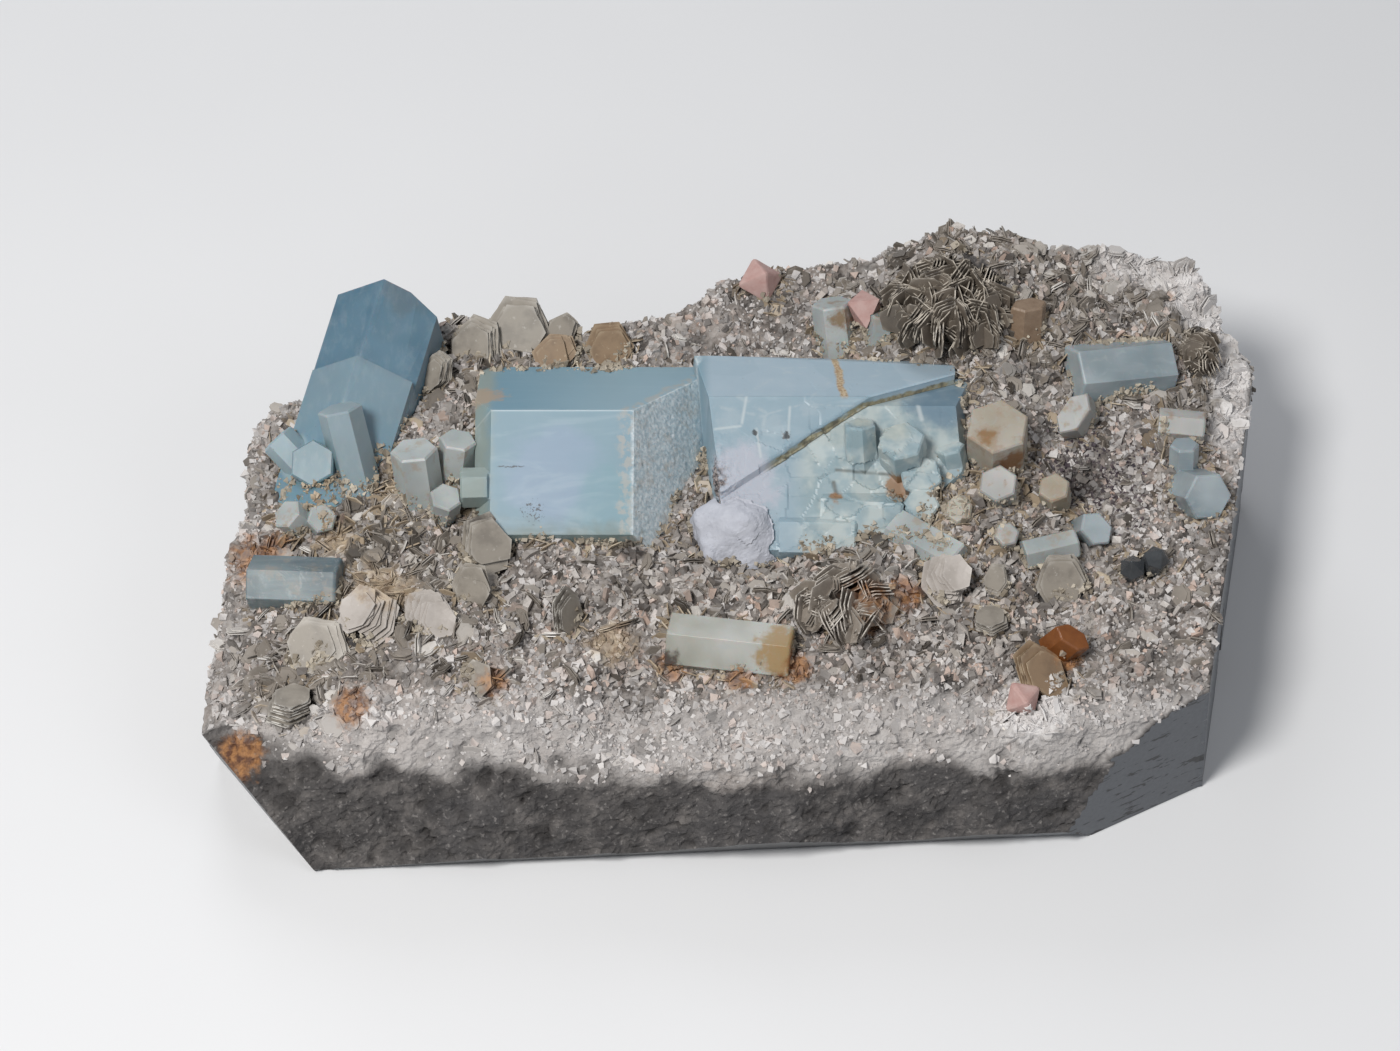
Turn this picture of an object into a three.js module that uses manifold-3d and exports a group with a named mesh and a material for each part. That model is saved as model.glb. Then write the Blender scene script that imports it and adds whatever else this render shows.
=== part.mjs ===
// Aquamarine crystals on a plate of feldspar, albite and muscovite, about 320 mm wide.
// Millimetres, +Z up. The plate rests on its sawn base at z = 0, and its broken front faces -Y.
// Every crystal and mica book is its own solid, seated in a socket of the rock with a hairline gap.

import * as THREE from "three";
import { ImprovedNoise } from "three/addons/math/ImprovedNoise.js";
import { mergeVertices } from "three/addons/utils/BufferGeometryUtils.js";
import Module from "manifold-3d";

const wasm = await Module();
wasm.setup();

// Driving dimensions of the plate
const GAP = 0.3; // between a crystal and what it is seated in
const BEYOND = 600; // a saw cut's block reaches this far past the plate
const ROCK_CELLS = { across: 32, deep: 20, high: 4 }; // mesh of the plate's rough faces
const BELOW_BASE = 6; // rough rock under the base, which the saw takes off
const LUMPS = [
  { size: 31, height: 5 },
  { size: 14, height: 3.2 },
  { size: 7, height: 1.6 },
]; // relief of the natural surface, coarse to fine

// The rim of the plate's top, as points [x, y, z] along each side
const RIM = {
  front: [[-147, -69, 25], [-133, -68, 35], [-107, -75, 41], [-72, -74, 44], [-40, -78, 42], [-17, -86, 37],
    [9, -87, 38], [29, -86, 39], [57, -78, 44], [86, -79, 44], [121, -76, 46], [152, -74, 48]],
  back: [[-132, 41, 54], [-120, 43, 56], [-102, 53, 56], [-80, 73, 57], [-44, 73, 57], [-20, 77, 59],
    [0, 82, 61], [19, 90, 65], [53, 92, 74], [78, 91, 81], [109, 88, 79], [135, 91, 75], [154, 87, 72]],
  left: [[-147, -69, 25], [-145, -48, 31], [-143, -24, 38], [-139, 10, 46], [-138, 32, 51], [-132, 41, 54]],
  right: [[152, -74, 48], [160, -12, 52], [174, 50, 56], [169, 62, 60], [160, 76, 68], [154, 87, 72]],
};

// The foot of the broken front face, as y at the left and at the right end
const FRONT_FOOT = { left: [-112, -100], right: [118, -91] };

// Swells and hollows of the top, each a soft round hill
const SWELLS = [
  { name: "ground between the two large crystals", at: [-74, 30], radius: 17, height: 7 },
  { name: "hill under the mica rosette", at: [84, 64], radius: 24, height: 8 },
  { name: "bank behind the large crystal", at: [5, 68], radius: 20, height: 2 },
  { name: "seat of the large crystal", at: [5, 25], radius: 30, height: -3 },
  { name: "hollow right of the large crystal", at: [112, 2], radius: 20, height: -8 },
  { name: "mound at the right end", at: [140, 55], radius: 22, height: 4 },
  { name: "rusty nest", at: [42, -34], radius: 15, height: 7 },
  { name: "shelf along the front", at: [30, -62], radius: 22, height: 4 },
  { name: "left bank", at: [-118, -20], radius: 20, height: 4 },
  { name: "mica field at the front left", at: [-92, -48], radius: 20, height: 3 },
];

// Saw cuts, each a plane by a point on it and the direction that it faces
const SAW_CUTS = [
  { name: "base", point: [0, 0, 0], facing: [0, 0, -1] },
  { name: "front undercut", point: [0, -89, 0], facing: [0.05, -0.87, -0.49] },
  { name: "front right corner", point: [132, -74, 0], facing: [0.47, -0.88, 0] },
  { name: "right side", point: [150, -66, 0], facing: [0.978, -0.208, 0.06] },
  { name: "front left corner", point: [-116, -92, 0], facing: [-0.76, -0.58, -0.29] },
];

const TO_VIEWER = [0, -0.67, 0.74]; // the side that most crystal faces are turned to

const EDGE_AT_ETCHED_END = { point: [1, 35, 66], facing: [-0.985, -0.16, 0.05] };

// The large crystal lies along X. Its bodies are prisms of these sections [y, z], each cut at its ends.
const LYING_BODIES = [
  {
    name: "left body",
    section: [[-10, 52], [21.5, 73], [56, 56.5], [57, 22], [-8, 22]],
    from: -68,
    to: 12,
    cuts: [
      { name: "etched end", point: [-19.8, 21.5, 73], facing: [0.766, -0.36, 0.533] },
      { name: "left end", point: [-63, 10, 65], facing: [-0.8, -0.33, 0.5] },
      { name: "worn front corner", point: [-61, -8, 54], facing: [-0.5, -0.8, 0.1] },
    ],
  },
  {
    name: "right body above the crack",
    section: [[-14, 51], [27, 73], [52, 65.5], [54, 22], [-12, 22]],
    from: -4,
    to: 78,
    cuts: [
      EDGE_AT_ETCHED_END,
      { name: "crack", point: [53, 27, 68], facing: [0.47, -0.88, 0.12] },
      { name: "slope to the tip", point: [10, 52, 65.3], facing: [0.03, 0.6, 0.8] },
    ],
  },
  {
    name: "right body below the crack",
    section: [[-13, 48.5], [25.5, 70.5], [51, 62], [52, 22], [-12, 22]],
    from: -4,
    to: 88,
    cuts: [
      EDGE_AT_ETCHED_END,
      { name: "right end", point: [84, 38, 60], facing: [0.9, -0.15, 0.4] },
      { name: "lower right end", point: [66, -2, 55], facing: [0.58, -0.8, 0.1] },
    ],
  },
];

const INNER = 18; // the least distance from the middle of such a section to its sides

// Crystals grown on and into the large one: the two ends of the axis, and the length of a side of the hexagon
const LYING_GROWTHS = [
  { name: "side crystal", from: [-50, 5, 57], to: [-72, 4, 57.5], side: 6 },
  { name: "crystal with a stained foot", from: [63, 13, 48], to: [60, 10, 72], side: 7.3, face: [0.2, -1, 0] },
  { name: "its lower twin", from: [68, 12, 46], to: [66, 3, 64], side: 6.5, face: [0.5, -0.8, 0.2] },
  { name: "small upright crystal", from: [50, 7, 48], to: [48, 18, 71], side: 5.2, face: [-0.4, -1, 0] },
  { name: "upper lying crystal", from: [37, 1, 49], to: [61, -2, 50], side: 9.2 },
  { name: "lower lying crystal", from: [24, -5, 45.5], to: [47, -6, 46], side: 9 },
  { name: "corner crystal", from: [79, 9, 48], to: [75, 14, 65], side: 4.6 },
  { name: "block at the lower right", from: [69, 8, 48], to: [66, -4, 59], side: 5.6 },
];

// The upright cluster leans back over the rim. Its two large prisms are parallel, and so are their tips.
const TIP_SLOPE = [0.229, 0.968, 0.1];
const UPRIGHT_FACE = [0.256, -0.7, 0.666];
const UPRIGHT_CLUSTER = [
  {
    name: "tall crystal",
    from: [-113, 12, 35],
    to: [-91, 85, 71],
    side: 19.2,
    face: UPRIGHT_FACE,
    cuts: [
      { name: "tip", point: [-95.3, 69, 63.7], facing: TIP_SLOPE },
      { name: "right shoulder", point: [-88, 65.5, 77.5], facing: [0.6, 0.78, 0.2] },
    ],
  },
  {
    name: "short crystal in front of it",
    from: [-115, 7, 35],
    to: [-98, 60, 63.5],
    side: 18.6,
    face: UPRIGHT_FACE,
    cuts: [{ name: "tip", point: [-102, 44, 57.5], facing: TIP_SLOPE }],
  },
  { name: "clear stub", from: [-103, 10, 48], to: [-108.7, 23.6, 71.7], side: 6.8, face: [0, -1, 0.6] },
  { name: "crystal seen end on", from: [-114, 23, 40], to: [-117, 12, 60], side: 7.4 },
  { name: "outer crystal", from: [-117, 16, 48], to: [-129, 25, 57], side: 5.6 },
];

// Smaller crystals, each a cluster of one or more prisms
const CRYSTALS = {
  aquamarine_low_left: [{ from: [-133, -25, 47], to: [-106, -28, 49], side: 8.6 }],
  beryl_left_pair: [
    { from: [-117, -2, 44], to: [-124, -4, 55], side: 5 },
    { from: [-116, 0, 44], to: [-113, -6, 55], side: 4.6 },
  ],
  beryl_between: [
    { from: [-84, 6, 42], to: [-86, 12, 66], side: 7.2 },
    { from: [-76, 14, 42], to: [-73, 18, 64], side: 5.8 },
    { from: [-79, 3, 42], to: [-76, 0, 58], side: 5 },
  ],
  beryl_front: [{ from: [-9, -46, 45], to: [27, -52, 46], side: 9, turn: 12 }],
  aquamarine_right: [{ from: [144, 52, 60], to: [114, 44, 64], side: 10.5, turn: 15 }],
  beryl_right_pale: [{ from: [119, 34, 52], to: [113, 26, 67], side: 7.5, flat: 0.6 }],
  beryl_right_small: [{ from: [140, 30, 58], to: [154, 28, 58], side: 5.2 }],
  aquamarine_right_edge: [
    { from: [146, 14, 47], to: [152, -2, 60], side: 7.6 },
    { from: [147, 12, 47], to: [146, 16, 64], side: 4.5 },
  ],
  beryl_yellow: [{ from: [91, 20, 47], to: [89, 15, 73], side: 9.8, face: [1, -0.2, 0] }],
  beryl_milky: [{ from: [92, 8, 45], to: [89, 1, 63], side: 6 }],
  beryl_peach_left: [{ from: [79, 1, 44], to: [77, -7, 60], side: 4.4 }],
  beryl_peach_right: [{ from: [109, 8, 42], to: [106, 2, 60], side: 5 }],
  beryl_hexagon: [{ from: [92, -8, 43], to: [91, -15, 58], side: 3.9 }],
  beryl_green: [{ from: [96, -19, 53], to: [112, -15, 54], side: 4.8, turn: 30 }],
  beryl_blue_small: [{ from: [115, -2, 42], to: [118, -12, 57], side: 5.8, flat: 0.8 }],
  quartz_smoky: [
    { from: [130, -20, 42], to: [127, -26, 58], side: 4, point: 5 },
    { from: [133, -19, 42], to: [136, -23, 60], side: 4, point: 5 },
  ],
  beryl_tabular: [{ from: [58, -8, 49], to: [76, -23, 50], side: 9.5, flat: 0.8, turn: 30 }],
  beryl_back_left: [{ from: [44, 60, 50], to: [41, 70, 71], side: 6.6 }],
  beryl_back_right: [{ from: [54, 57, 50], to: [57, 66, 70], side: 5.4 }],
  feldspar_back: [{ from: [101, 56, 60], to: [101, 61, 79], side: 6, flat: 0.7, turn: 20 }],
  albite_fan: [{ from: [12, -1, 40], to: [14, -11, 60], side: 17, point: 11, flat: 0.9 }],
  feldspar_orange: [{ from: [101, -50, 42], to: [108, -54, 57], side: 6, flat: 0.6, turn: 15 }],
};

// Pink fluorite octahedra, half sunk in the rock
const FLUORITES = {
  fluorite_back_left: { at: [19, 84, 67], radius: 8, turn: [0.5, 0.2, 0.3] },
  fluorite_back_right: { at: [51, 68, 70], radius: 7, turn: [0.2, 0.7, 0.1] },
  fluorite_front: { at: [93, -69, 47], radius: 6.5, turn: [0.9, 0.1, 0.6] },
};

// Mica books: centre, the direction that the sheets face, radius of the hexagon and thickness of the book
const BOOKS = {
  mica_back_large: { at: [-57, 70, 58], facing: [-0.1, -0.75, 0.65], radius: 12, thick: 6 },
  mica_back_left: { at: [-71, 64, 57], facing: [-0.35, -0.65, 0.67], radius: 9.5, thick: 5 },
  mica_back_right: { at: [-43, 72, 57], facing: [0.2, -0.5, 0.84], radius: 7, thick: 3 },
  mica_brown_left: { at: [-44, 62.5, 57], facing: [-0.1, -0.75, 0.66], radius: 7.5, thick: 3 },
  mica_brown_right: { at: [-28, 62.5, 58], facing: [0.1, -0.75, 0.66], radius: 8.5, thick: 3 },
  mica_grey: { at: [-83, 50, 60], facing: [-0.5, -0.6, 0.6], radius: 7.5, thick: 3 },
  mica_tabular: { at: [-64, -14, 50], facing: [0.35, -0.6, 0.72], radius: 10, thick: 4.5 },
  mica_leaning: { at: [-68, -28, 49], facing: [-0.2, -0.8, 0.55], radius: 8.5, thick: 3 },
  mica_shell_left: { at: [-98, -41, 51], facing: [-0.3, -0.3, 0.9], radius: 10.5, thick: 5 },
  mica_shell_right: { at: [-79, -41, 51], facing: [0.2, -0.45, 0.87], radius: 9, thick: 3 },
  mica_hexagon: { at: [-114, -50, 47], facing: [-0.15, -0.6, 0.79], radius: 9.5, thick: 2 },
  mica_stack: { at: [-119, -66, 41], facing: [0.1, 0.3, 0.95], radius: 8.5, thick: 6 },
  mica_blade: { at: [-39, -37, 48], facing: [0.85, -0.4, 0.3], radius: 8.5, thick: 2 },
  mica_front_left: { at: [-65, -62, 47], facing: [-0.3, -0.6, 0.75], radius: 7, thick: 2 },
  mica_fan: { at: [107, -28, 51], facing: [0.1, -0.8, 0.6], radius: 10.5, thick: 3 },
  mica_small: { at: [87, -29, 53], facing: [-0.2, -0.75, 0.6], radius: 5.8, thick: 2.5 },
  mica_white: { at: [73, -31, 55], facing: [0, -0.5, 0.87], radius: 7, thick: 4 },
  mica_leaves: { at: [85, -43, 52], facing: [0.1, 0.2, 0.97], radius: 7, thick: 2 },
  mica_curved: { at: [99, -60, 49], facing: [0.45, -0.4, 0.8], radius: 10.5, thick: 3 },
};

// Mica clusters: plates stood round a mound, with their faces turned about
const CLUSTERS = {
  mica_rosette: {
    at: [78, 67, 76],
    facing: [-0.05, -0.42, 0.9],
    spread: [20, 19, 8],
    plates: 14,
    radius: 9,
    thick: 1.8,
    upright: 0.85,
  },
  mica_nest: {
    at: [43, -38, 54],
    facing: [0, -0.3, 0.95],
    spread: [15, 10, 5],
    plates: 7,
    radius: 8.5,
    thick: 1.8,
    upright: 0.45,
  },
  mica_spray: {
    at: [155, 55, 62],
    facing: [0, 0, 1],
    spread: [5, 9, 4],
    plates: 4,
    radius: 6.5,
    thick: 1.8,
    upright: 0.8,
  },
};
const LEDGE = 0.82; // the upper sheets of a book against its lower ones
const CORE = 0.85; // a cluster's mound and the centres of its plates against its spread
const GOLDEN_ANGLE = Math.PI * (3 - Math.sqrt(5));
const BOOK_FLAT = 0.94; // a book's width against its breadth
const BOOK_TWIST = 7; // degrees between one run of sheets and the next
const SHEET_OVERLAP = 0.05; // one run of sheets reaches this far into the next
const UNEVEN = { heading: 1.7, lean: 3.1, size: 5 }; // how fast each changes from plate to plate

const Z = new THREE.Vector3(0, 0, 1);
const vec = (a) => new THREE.Vector3(...a);
const noise = new ImprovedNoise();

// Solids: from a geometry to a manifold and back
function solidOf(geometry, matrix = new THREE.Matrix4()) {
  const bare = new THREE.BufferGeometry();
  bare.setAttribute("position", geometry.getAttribute("position").clone());
  bare.setIndex(geometry.index);
  bare.applyMatrix4(matrix);
  const merged = mergeVertices(bare, 1e-3);
  const corners = merged.index.array;
  const kept = [];
  for (let i = 0; i < corners.length; i += 3) {
    const [a, b, c] = [corners[i], corners[i + 1], corners[i + 2]];
    if (a !== b && b !== c && c !== a) kept.push(a, b, c);
  }
  return new wasm.Manifold(
    new wasm.Mesh({
      numProp: 3,
      vertProperties: merged.attributes.position.array,
      triVerts: new Uint32Array(kept),
    }),
  );
}

function geometryOf(solid) {
  const mesh = solid.getMesh();
  const geometry = new THREE.BufferGeometry();
  geometry.setAttribute("position", new THREE.BufferAttribute(mesh.vertProperties, 3));
  geometry.setIndex(new THREE.BufferAttribute(mesh.triVerts, 1));
  geometry.computeVertexNormals();
  return geometry;
}

const largestBody = (solid) => solid.decompose().reduce((a, b) => (a.volume() > b.volume() ? a : b));
const union = (solids) => solids.reduce((a, b) => a.add(b));

// What lies beyond a plane, as a block. The plane moves out by `grow`.
function beyond({ point, facing }, grow = 0) {
  const block = new THREE.BoxGeometry(BEYOND, BEYOND, BEYOND).translate(0, 0, BEYOND / 2 + grow);
  const turn = new THREE.Quaternion().setFromUnitVectors(Z, vec(facing).normalize());
  return solidOf(block, new THREE.Matrix4().compose(vec(point), turn, new THREE.Vector3(1, 1, 1)));
}

function cutAway(solid, cuts, grow = 0) {
  return cuts.reduce((left, cut) => left.subtract(beyond(cut, grow)), solid);
}

// The rock
function rimCurve(points) {
  return new THREE.CatmullRomCurve3(points.map(vec), false, "centripetal");
}

const rim = {
  front: rimCurve(RIM.front),
  back: rimCurve(RIM.back),
  left: rimCurve(RIM.left),
  right: rimCurve(RIM.right),
};

// A point of the top inside the four rim curves, by its share across (0 left) and deep (0 front)
function patch(across, deep) {
  const corners = new THREE.Vector3()
    .addScaledVector(rim.front.getPointAt(0), (1 - across) * (1 - deep))
    .addScaledVector(rim.front.getPointAt(1), across * (1 - deep))
    .addScaledVector(rim.back.getPointAt(0), (1 - across) * deep)
    .addScaledVector(rim.back.getPointAt(1), across * deep);
  return rim.front.getPointAt(across).multiplyScalar(1 - deep)
    .addScaledVector(rim.back.getPointAt(across), deep)
    .addScaledVector(rim.left.getPointAt(deep), 1 - across)
    .addScaledVector(rim.right.getPointAt(deep), across)
    .sub(corners);
}

function swell(x, y) {
  return SWELLS.reduce((sum, s) => {
    const d = Math.hypot(x - s.at[0], y - s.at[1]) / s.radius;
    return sum + s.height * Math.exp(-d * d);
  }, 0);
}

const APART = 7.3; // each layer of lumps reads another part of the noise

function relief(p) {
  return LUMPS.reduce((sum, { size, height }, i) => {
    return sum + height * noise.noise(p.x / size + APART * i, p.y / size, p.z / size);
  }, 0);
}

function roughPlate() {
  const { across, deep, high } = ROCK_CELLS;
  const { left, right } = FRONT_FOOT;
  const geometry = new THREE.BoxGeometry(1, 1, 1, across, deep, high);
  const position = geometry.getAttribute("position");
  const sideOf = (share) => (share < 0.001 ? -1 : share > 0.999 ? 1 : 0);
  for (let i = 0; i < position.count; i++) {
    const a = position.getX(i) + 0.5;
    const b = position.getY(i) + 0.5;
    const c = position.getZ(i) + 0.5;
    const p = patch(a, b);
    const inside = Math.min(1, 8 * Math.min(a, 1 - a, b, 1 - b)); // swells fade at the rim
    p.z += swell(p.x, p.y) * inside;
    p.z = THREE.MathUtils.lerp(-BELOW_BASE, p.z, c);
    const foot = THREE.MathUtils.mapLinear(p.x, left[0], right[0], left[1], right[1]);
    p.y += (1 - b) ** 3 * (foot - rim.front.getPointAt(a).y) * (1 - c) ** 0.7;
    const out = new THREE.Vector3(sideOf(a), sideOf(b), c > 0.999 ? 1 : 0).normalize();
    p.addScaledVector(out, relief(p));
    position.setXYZ(i, p.x, p.y, p.z);
  }
  return solidOf(geometry);
}

const BEVEL = 0.6; // the worn edge round a crystal's end

// A six-sided prism between two points, with a small bevel or a point at its tip.
// One face is turned to `face` and then by `turn` degrees, and `flat` squashes the prism across that face.
function prism(spec, grow = 0) {
  const { from, to, side, face = TO_VIEWER, turn = 0, flat = 1, point = 0, bevel = BEVEL, cuts = [] } = spec;
  const axis = vec(to).sub(vec(from)).normalize();
  const length = vec(from).distanceTo(vec(to)) + 2 * grow;
  const radius = side + grow / Math.cos(Math.PI / 6);
  const shoulder = point ? [[radius, length - point]] : [[radius, length - bevel], [radius - bevel, length]];
  const profile = [[0, 0], [radius, 0], ...(bevel ? shoulder : [[radius, length]]), [0, length]];
  const outline = profile.map((p) => new THREE.Vector2(...p));
  const geometry = new THREE.LatheGeometry(outline, 6).scale(flat, 1, 1);
  const out = vec(face).applyAxisAngle(axis, THREE.MathUtils.degToRad(turn));
  out.addScaledVector(axis, -out.dot(axis)).normalize();
  const start = vec(from).addScaledVector(axis, -grow);
  const matrix = new THREE.Matrix4().makeBasis(out, axis, out.clone().cross(axis)).setPosition(start);
  return cutAway(solidOf(geometry, matrix), cuts, grow);
}

const cluster = (prisms) => (grow) => union(prisms.map((p) => prism(p, grow)));

// One of the large crystal's bodies, extruded along X from its section. The section grows about its middle.
function lyingBody({ section, from, to, cuts }, grow = 0) {
  const corners = section.map(([y, z]) => new THREE.Vector2(y, z));
  const middle = corners.reduce((sum, c) => sum.add(c), new THREE.Vector2()).divideScalar(corners.length);
  const scale = 1 + grow / INNER;
  const outline = new THREE.Shape(corners.map((c) => c.sub(middle).multiplyScalar(scale).add(middle)));
  const geometry = new THREE.ExtrudeGeometry(outline, { depth: to - from + 2 * grow, bevelEnabled: false });
  const matrix = new THREE.Matrix4().makeBasis(new THREE.Vector3(0, 1, 0), Z, new THREE.Vector3(1, 0, 0));
  return cutAway(solidOf(geometry, matrix.setPosition(from - grow, 0, 0)), cuts, grow);
}

// A mica book: two or three runs of sheets, the upper ones smaller, so that ledges show on its edge
function book({ at, facing, radius, thick }, grow = 0) {
  const out = vec(facing).normalize();
  const across = out.clone().cross(Z).normalize();
  const runs = grow ? 1 : thick > 4 ? 3 : 2; // a socket is one plain prism
  const solids = [];
  for (let i = 0; i < runs; i++) {
    const low = vec(at).addScaledVector(out, (i / runs - 0.5) * thick - SHEET_OVERLAP);
    const high = low.clone().addScaledVector(out, thick / runs + 2 * SHEET_OVERLAP);
    solids.push(prism({
      from: low.toArray(),
      to: high.toArray(),
      side: radius * LEDGE ** i,
      face: across.toArray(),
      turn: BOOK_TWIST * i,
      flat: BOOK_FLAT,
      bevel: 0,
    }, grow));
  }
  return union(solids);
}

// Plates stood about a mound, spread by the golden angle
function rosette({ at, facing, spread, plates, radius, thick, upright }, grow = 0) {
  const turn = new THREE.Quaternion().setFromUnitVectors(Z, vec(facing).normalize());
  const mound = new THREE.IcosahedronGeometry(1, 0);
  const scale = vec(spread).multiplyScalar(CORE).addScalar(grow * 1.5);
  const solids = [solidOf(mound, new THREE.Matrix4().compose(vec(at), turn, scale))];
  for (let i = 0; i < plates; i++) {
    const reach = Math.sqrt((i + 0.5) / plates);
    const angle = i * GOLDEN_ANGLE;
    const heading = angle * UNEVEN.heading;
    const centre = new THREE.Vector3(Math.cos(angle) * reach, Math.sin(angle) * reach, 1 - reach * reach)
      .multiplyScalar(CORE)
      .multiply(vec(spread))
      .applyQuaternion(turn)
      .add(vec(at));
    const out = new THREE.Vector3(Math.cos(heading), Math.sin(heading), 0)
      .multiplyScalar(upright)
      .addScaledVector(Z, 1 - upright + 0.25 * Math.sin(angle * UNEVEN.lean))
      .applyQuaternion(turn)
      .setLength(thick / 2);
    solids.push(prism({
      from: centre.clone().sub(out).toArray(),
      to: centre.clone().add(out).toArray(),
      side: radius * (0.75 + 0.25 * Math.cos(angle * UNEVEN.size)),
      face: [Math.sin(angle), 0.2, 1],
      flat: 0.85,
      bevel: 0,
    }, grow));
  }
  return union(solids);
}

function fluorite({ at, radius, turn }, grow = 0) {
  const matrix = new THREE.Matrix4().makeRotationFromEuler(new THREE.Euler(...turn)).setPosition(...at);
  return solidOf(new THREE.OctahedronGeometry(radius + grow * Math.sqrt(3)), matrix);
}

const specimen = new THREE.Group();
specimen.name = "specimen";
const seated = []; // every crystal placed so far, grown by the gap

// Adds a crystal. It gives way to those placed before it, and the rock gives way to all of them.
function add(name, shape, { colour, roughness }) {
  const own = shape(0);
  const clear = seated.reduce((left, other) => left.subtract(other), own);
  seated.push(shape(GAP));
  addMesh(name, largestBody(clear), { colour, roughness });
}

function addMesh(name, solid, { colour, roughness }) {
  const material = new THREE.MeshStandardMaterial({ color: colour, roughness, flatShading: true });
  const mesh = new THREE.Mesh(geometryOf(solid), material);
  mesh.name = name;
  specimen.add(mesh);
}

const FINISH = {
  aquamarine: { colour: 0x9fc3d2, roughness: 0.25 },
  beryl: { colour: 0xc3cfc8, roughness: 0.35 },
  quartz: { colour: 0x6f7478, roughness: 0.2 },
  albite: { colour: 0xd9d9e2, roughness: 0.7 },
  feldspar: { colour: 0xb98b5e, roughness: 0.6 },
  fluorite: { colour: 0xd79c9c, roughness: 0.35 },
  mica: { colour: 0x9a8f80, roughness: 0.4 },
  rock: { colour: 0xbdb4ab, roughness: 0.9 },
};

function lyingCrystal(grow) {
  const bodies = LYING_BODIES.map((body) => lyingBody(body, grow));
  return union([...bodies, ...LYING_GROWTHS.map((growth) => prism(growth, grow))]);
}

add("aquamarine_main", lyingCrystal, FINISH.aquamarine);
add("aquamarine_upright", cluster(UPRIGHT_CLUSTER), FINISH.aquamarine);
for (const [name, prisms] of Object.entries(CRYSTALS)) {
  add(name, cluster(prisms), FINISH[name.split("_")[0]]);
}
for (const [name, spec] of Object.entries(FLUORITES)) {
  add(name, (grow) => fluorite(spec, grow), FINISH.fluorite);
}
for (const [name, spec] of Object.entries(CLUSTERS)) {
  add(name, (grow) => rosette(spec, grow), FINISH.mica);
}
for (const [name, spec] of Object.entries(BOOKS)) {
  add(name, (grow) => book(spec, grow), FINISH.mica);
}

const sawn = cutAway(roughPlate(), SAW_CUTS);
addMesh("matrix", largestBody(seated.reduce((rock, crystal) => rock.subtract(crystal), sawn)), FINISH.rock);

export default specimen;
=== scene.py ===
import math
import random

import bmesh
import bpy
from mathutils import Matrix, Vector, noise
from mathutils.bvhtree import BVHTree


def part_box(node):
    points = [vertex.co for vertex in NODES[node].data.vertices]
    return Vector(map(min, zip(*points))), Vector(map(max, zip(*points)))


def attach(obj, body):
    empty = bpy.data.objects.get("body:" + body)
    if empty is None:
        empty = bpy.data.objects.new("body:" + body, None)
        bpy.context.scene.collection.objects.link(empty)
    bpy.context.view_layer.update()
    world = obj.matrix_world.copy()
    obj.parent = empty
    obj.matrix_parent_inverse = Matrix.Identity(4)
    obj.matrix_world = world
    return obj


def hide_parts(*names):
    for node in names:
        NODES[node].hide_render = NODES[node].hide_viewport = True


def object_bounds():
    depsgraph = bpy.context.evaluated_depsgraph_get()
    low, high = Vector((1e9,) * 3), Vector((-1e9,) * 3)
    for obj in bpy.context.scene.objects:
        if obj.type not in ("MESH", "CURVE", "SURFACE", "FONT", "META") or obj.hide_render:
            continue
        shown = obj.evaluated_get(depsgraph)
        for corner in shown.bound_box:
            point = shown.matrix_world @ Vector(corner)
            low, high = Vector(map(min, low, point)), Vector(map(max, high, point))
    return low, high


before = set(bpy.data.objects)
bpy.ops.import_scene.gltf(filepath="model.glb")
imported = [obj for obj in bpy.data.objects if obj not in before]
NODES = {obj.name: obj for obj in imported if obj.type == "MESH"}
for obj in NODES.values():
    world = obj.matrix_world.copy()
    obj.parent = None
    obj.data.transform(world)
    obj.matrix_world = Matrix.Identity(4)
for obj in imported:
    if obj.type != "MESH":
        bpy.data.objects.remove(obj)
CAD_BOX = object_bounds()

# Sizes and places below are in millimetres in the part's frame, and MM turns them into metres.
MM = 0.001
CRYSTALS = [name for name in NODES if name != "matrix"]

# Saw cuts of the rock: a point of each plane and the direction that it faces
BASE_CUT = ((0, 0, 0), (0, 0, -1))
FRONT_CUT = ((0, -89, 0), (0.05, -0.87, -0.49))
SIDE_CUTS = [
    ((132, -74, 0), (0.47, -0.88, 0)),
    ((150, -66, 0), (0.978, -0.208, 0.06)),
    ((-116, -92, 0), (-0.76, -0.58, -0.29)),
]
SAW_CUTS = [BASE_CUT, FRONT_CUT, *SIDE_CUTS]

# Planes of the large lying crystal
ETCHED_END = ((-19.8, 21.5, 73), (0.766, -0.36, 0.533))
CRACK = ((53, 27, 68), (0.47, -0.88, 0.12))


# Shader and geometry nodes

class Value:
    """A socket's value. Sums and products of values add their own Math nodes."""

    def __init__(self, tree, socket):
        self.tree = tree
        self.socket = socket

    def math(self, operation, *others, clamp=False):
        values = dict(enumerate([self, *others]))
        return self.tree.node("ShaderNodeMath", {"operation": operation, "use_clamp": clamp}, values)

    def __add__(self, other):
        return self.math("ADD", other)

    def __sub__(self, other):
        return self.math("SUBTRACT", other)

    def __mul__(self, other):
        return self.math("MULTIPLY", other)

    def __rsub__(self, other):
        settings = {"operation": "SUBTRACT"}
        return self.tree.node("ShaderNodeMath", settings, {0: other, 1: self})

    __radd__ = __add__

    def clamped(self):
        return self.math("ADD", 0, clamp=True)


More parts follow.
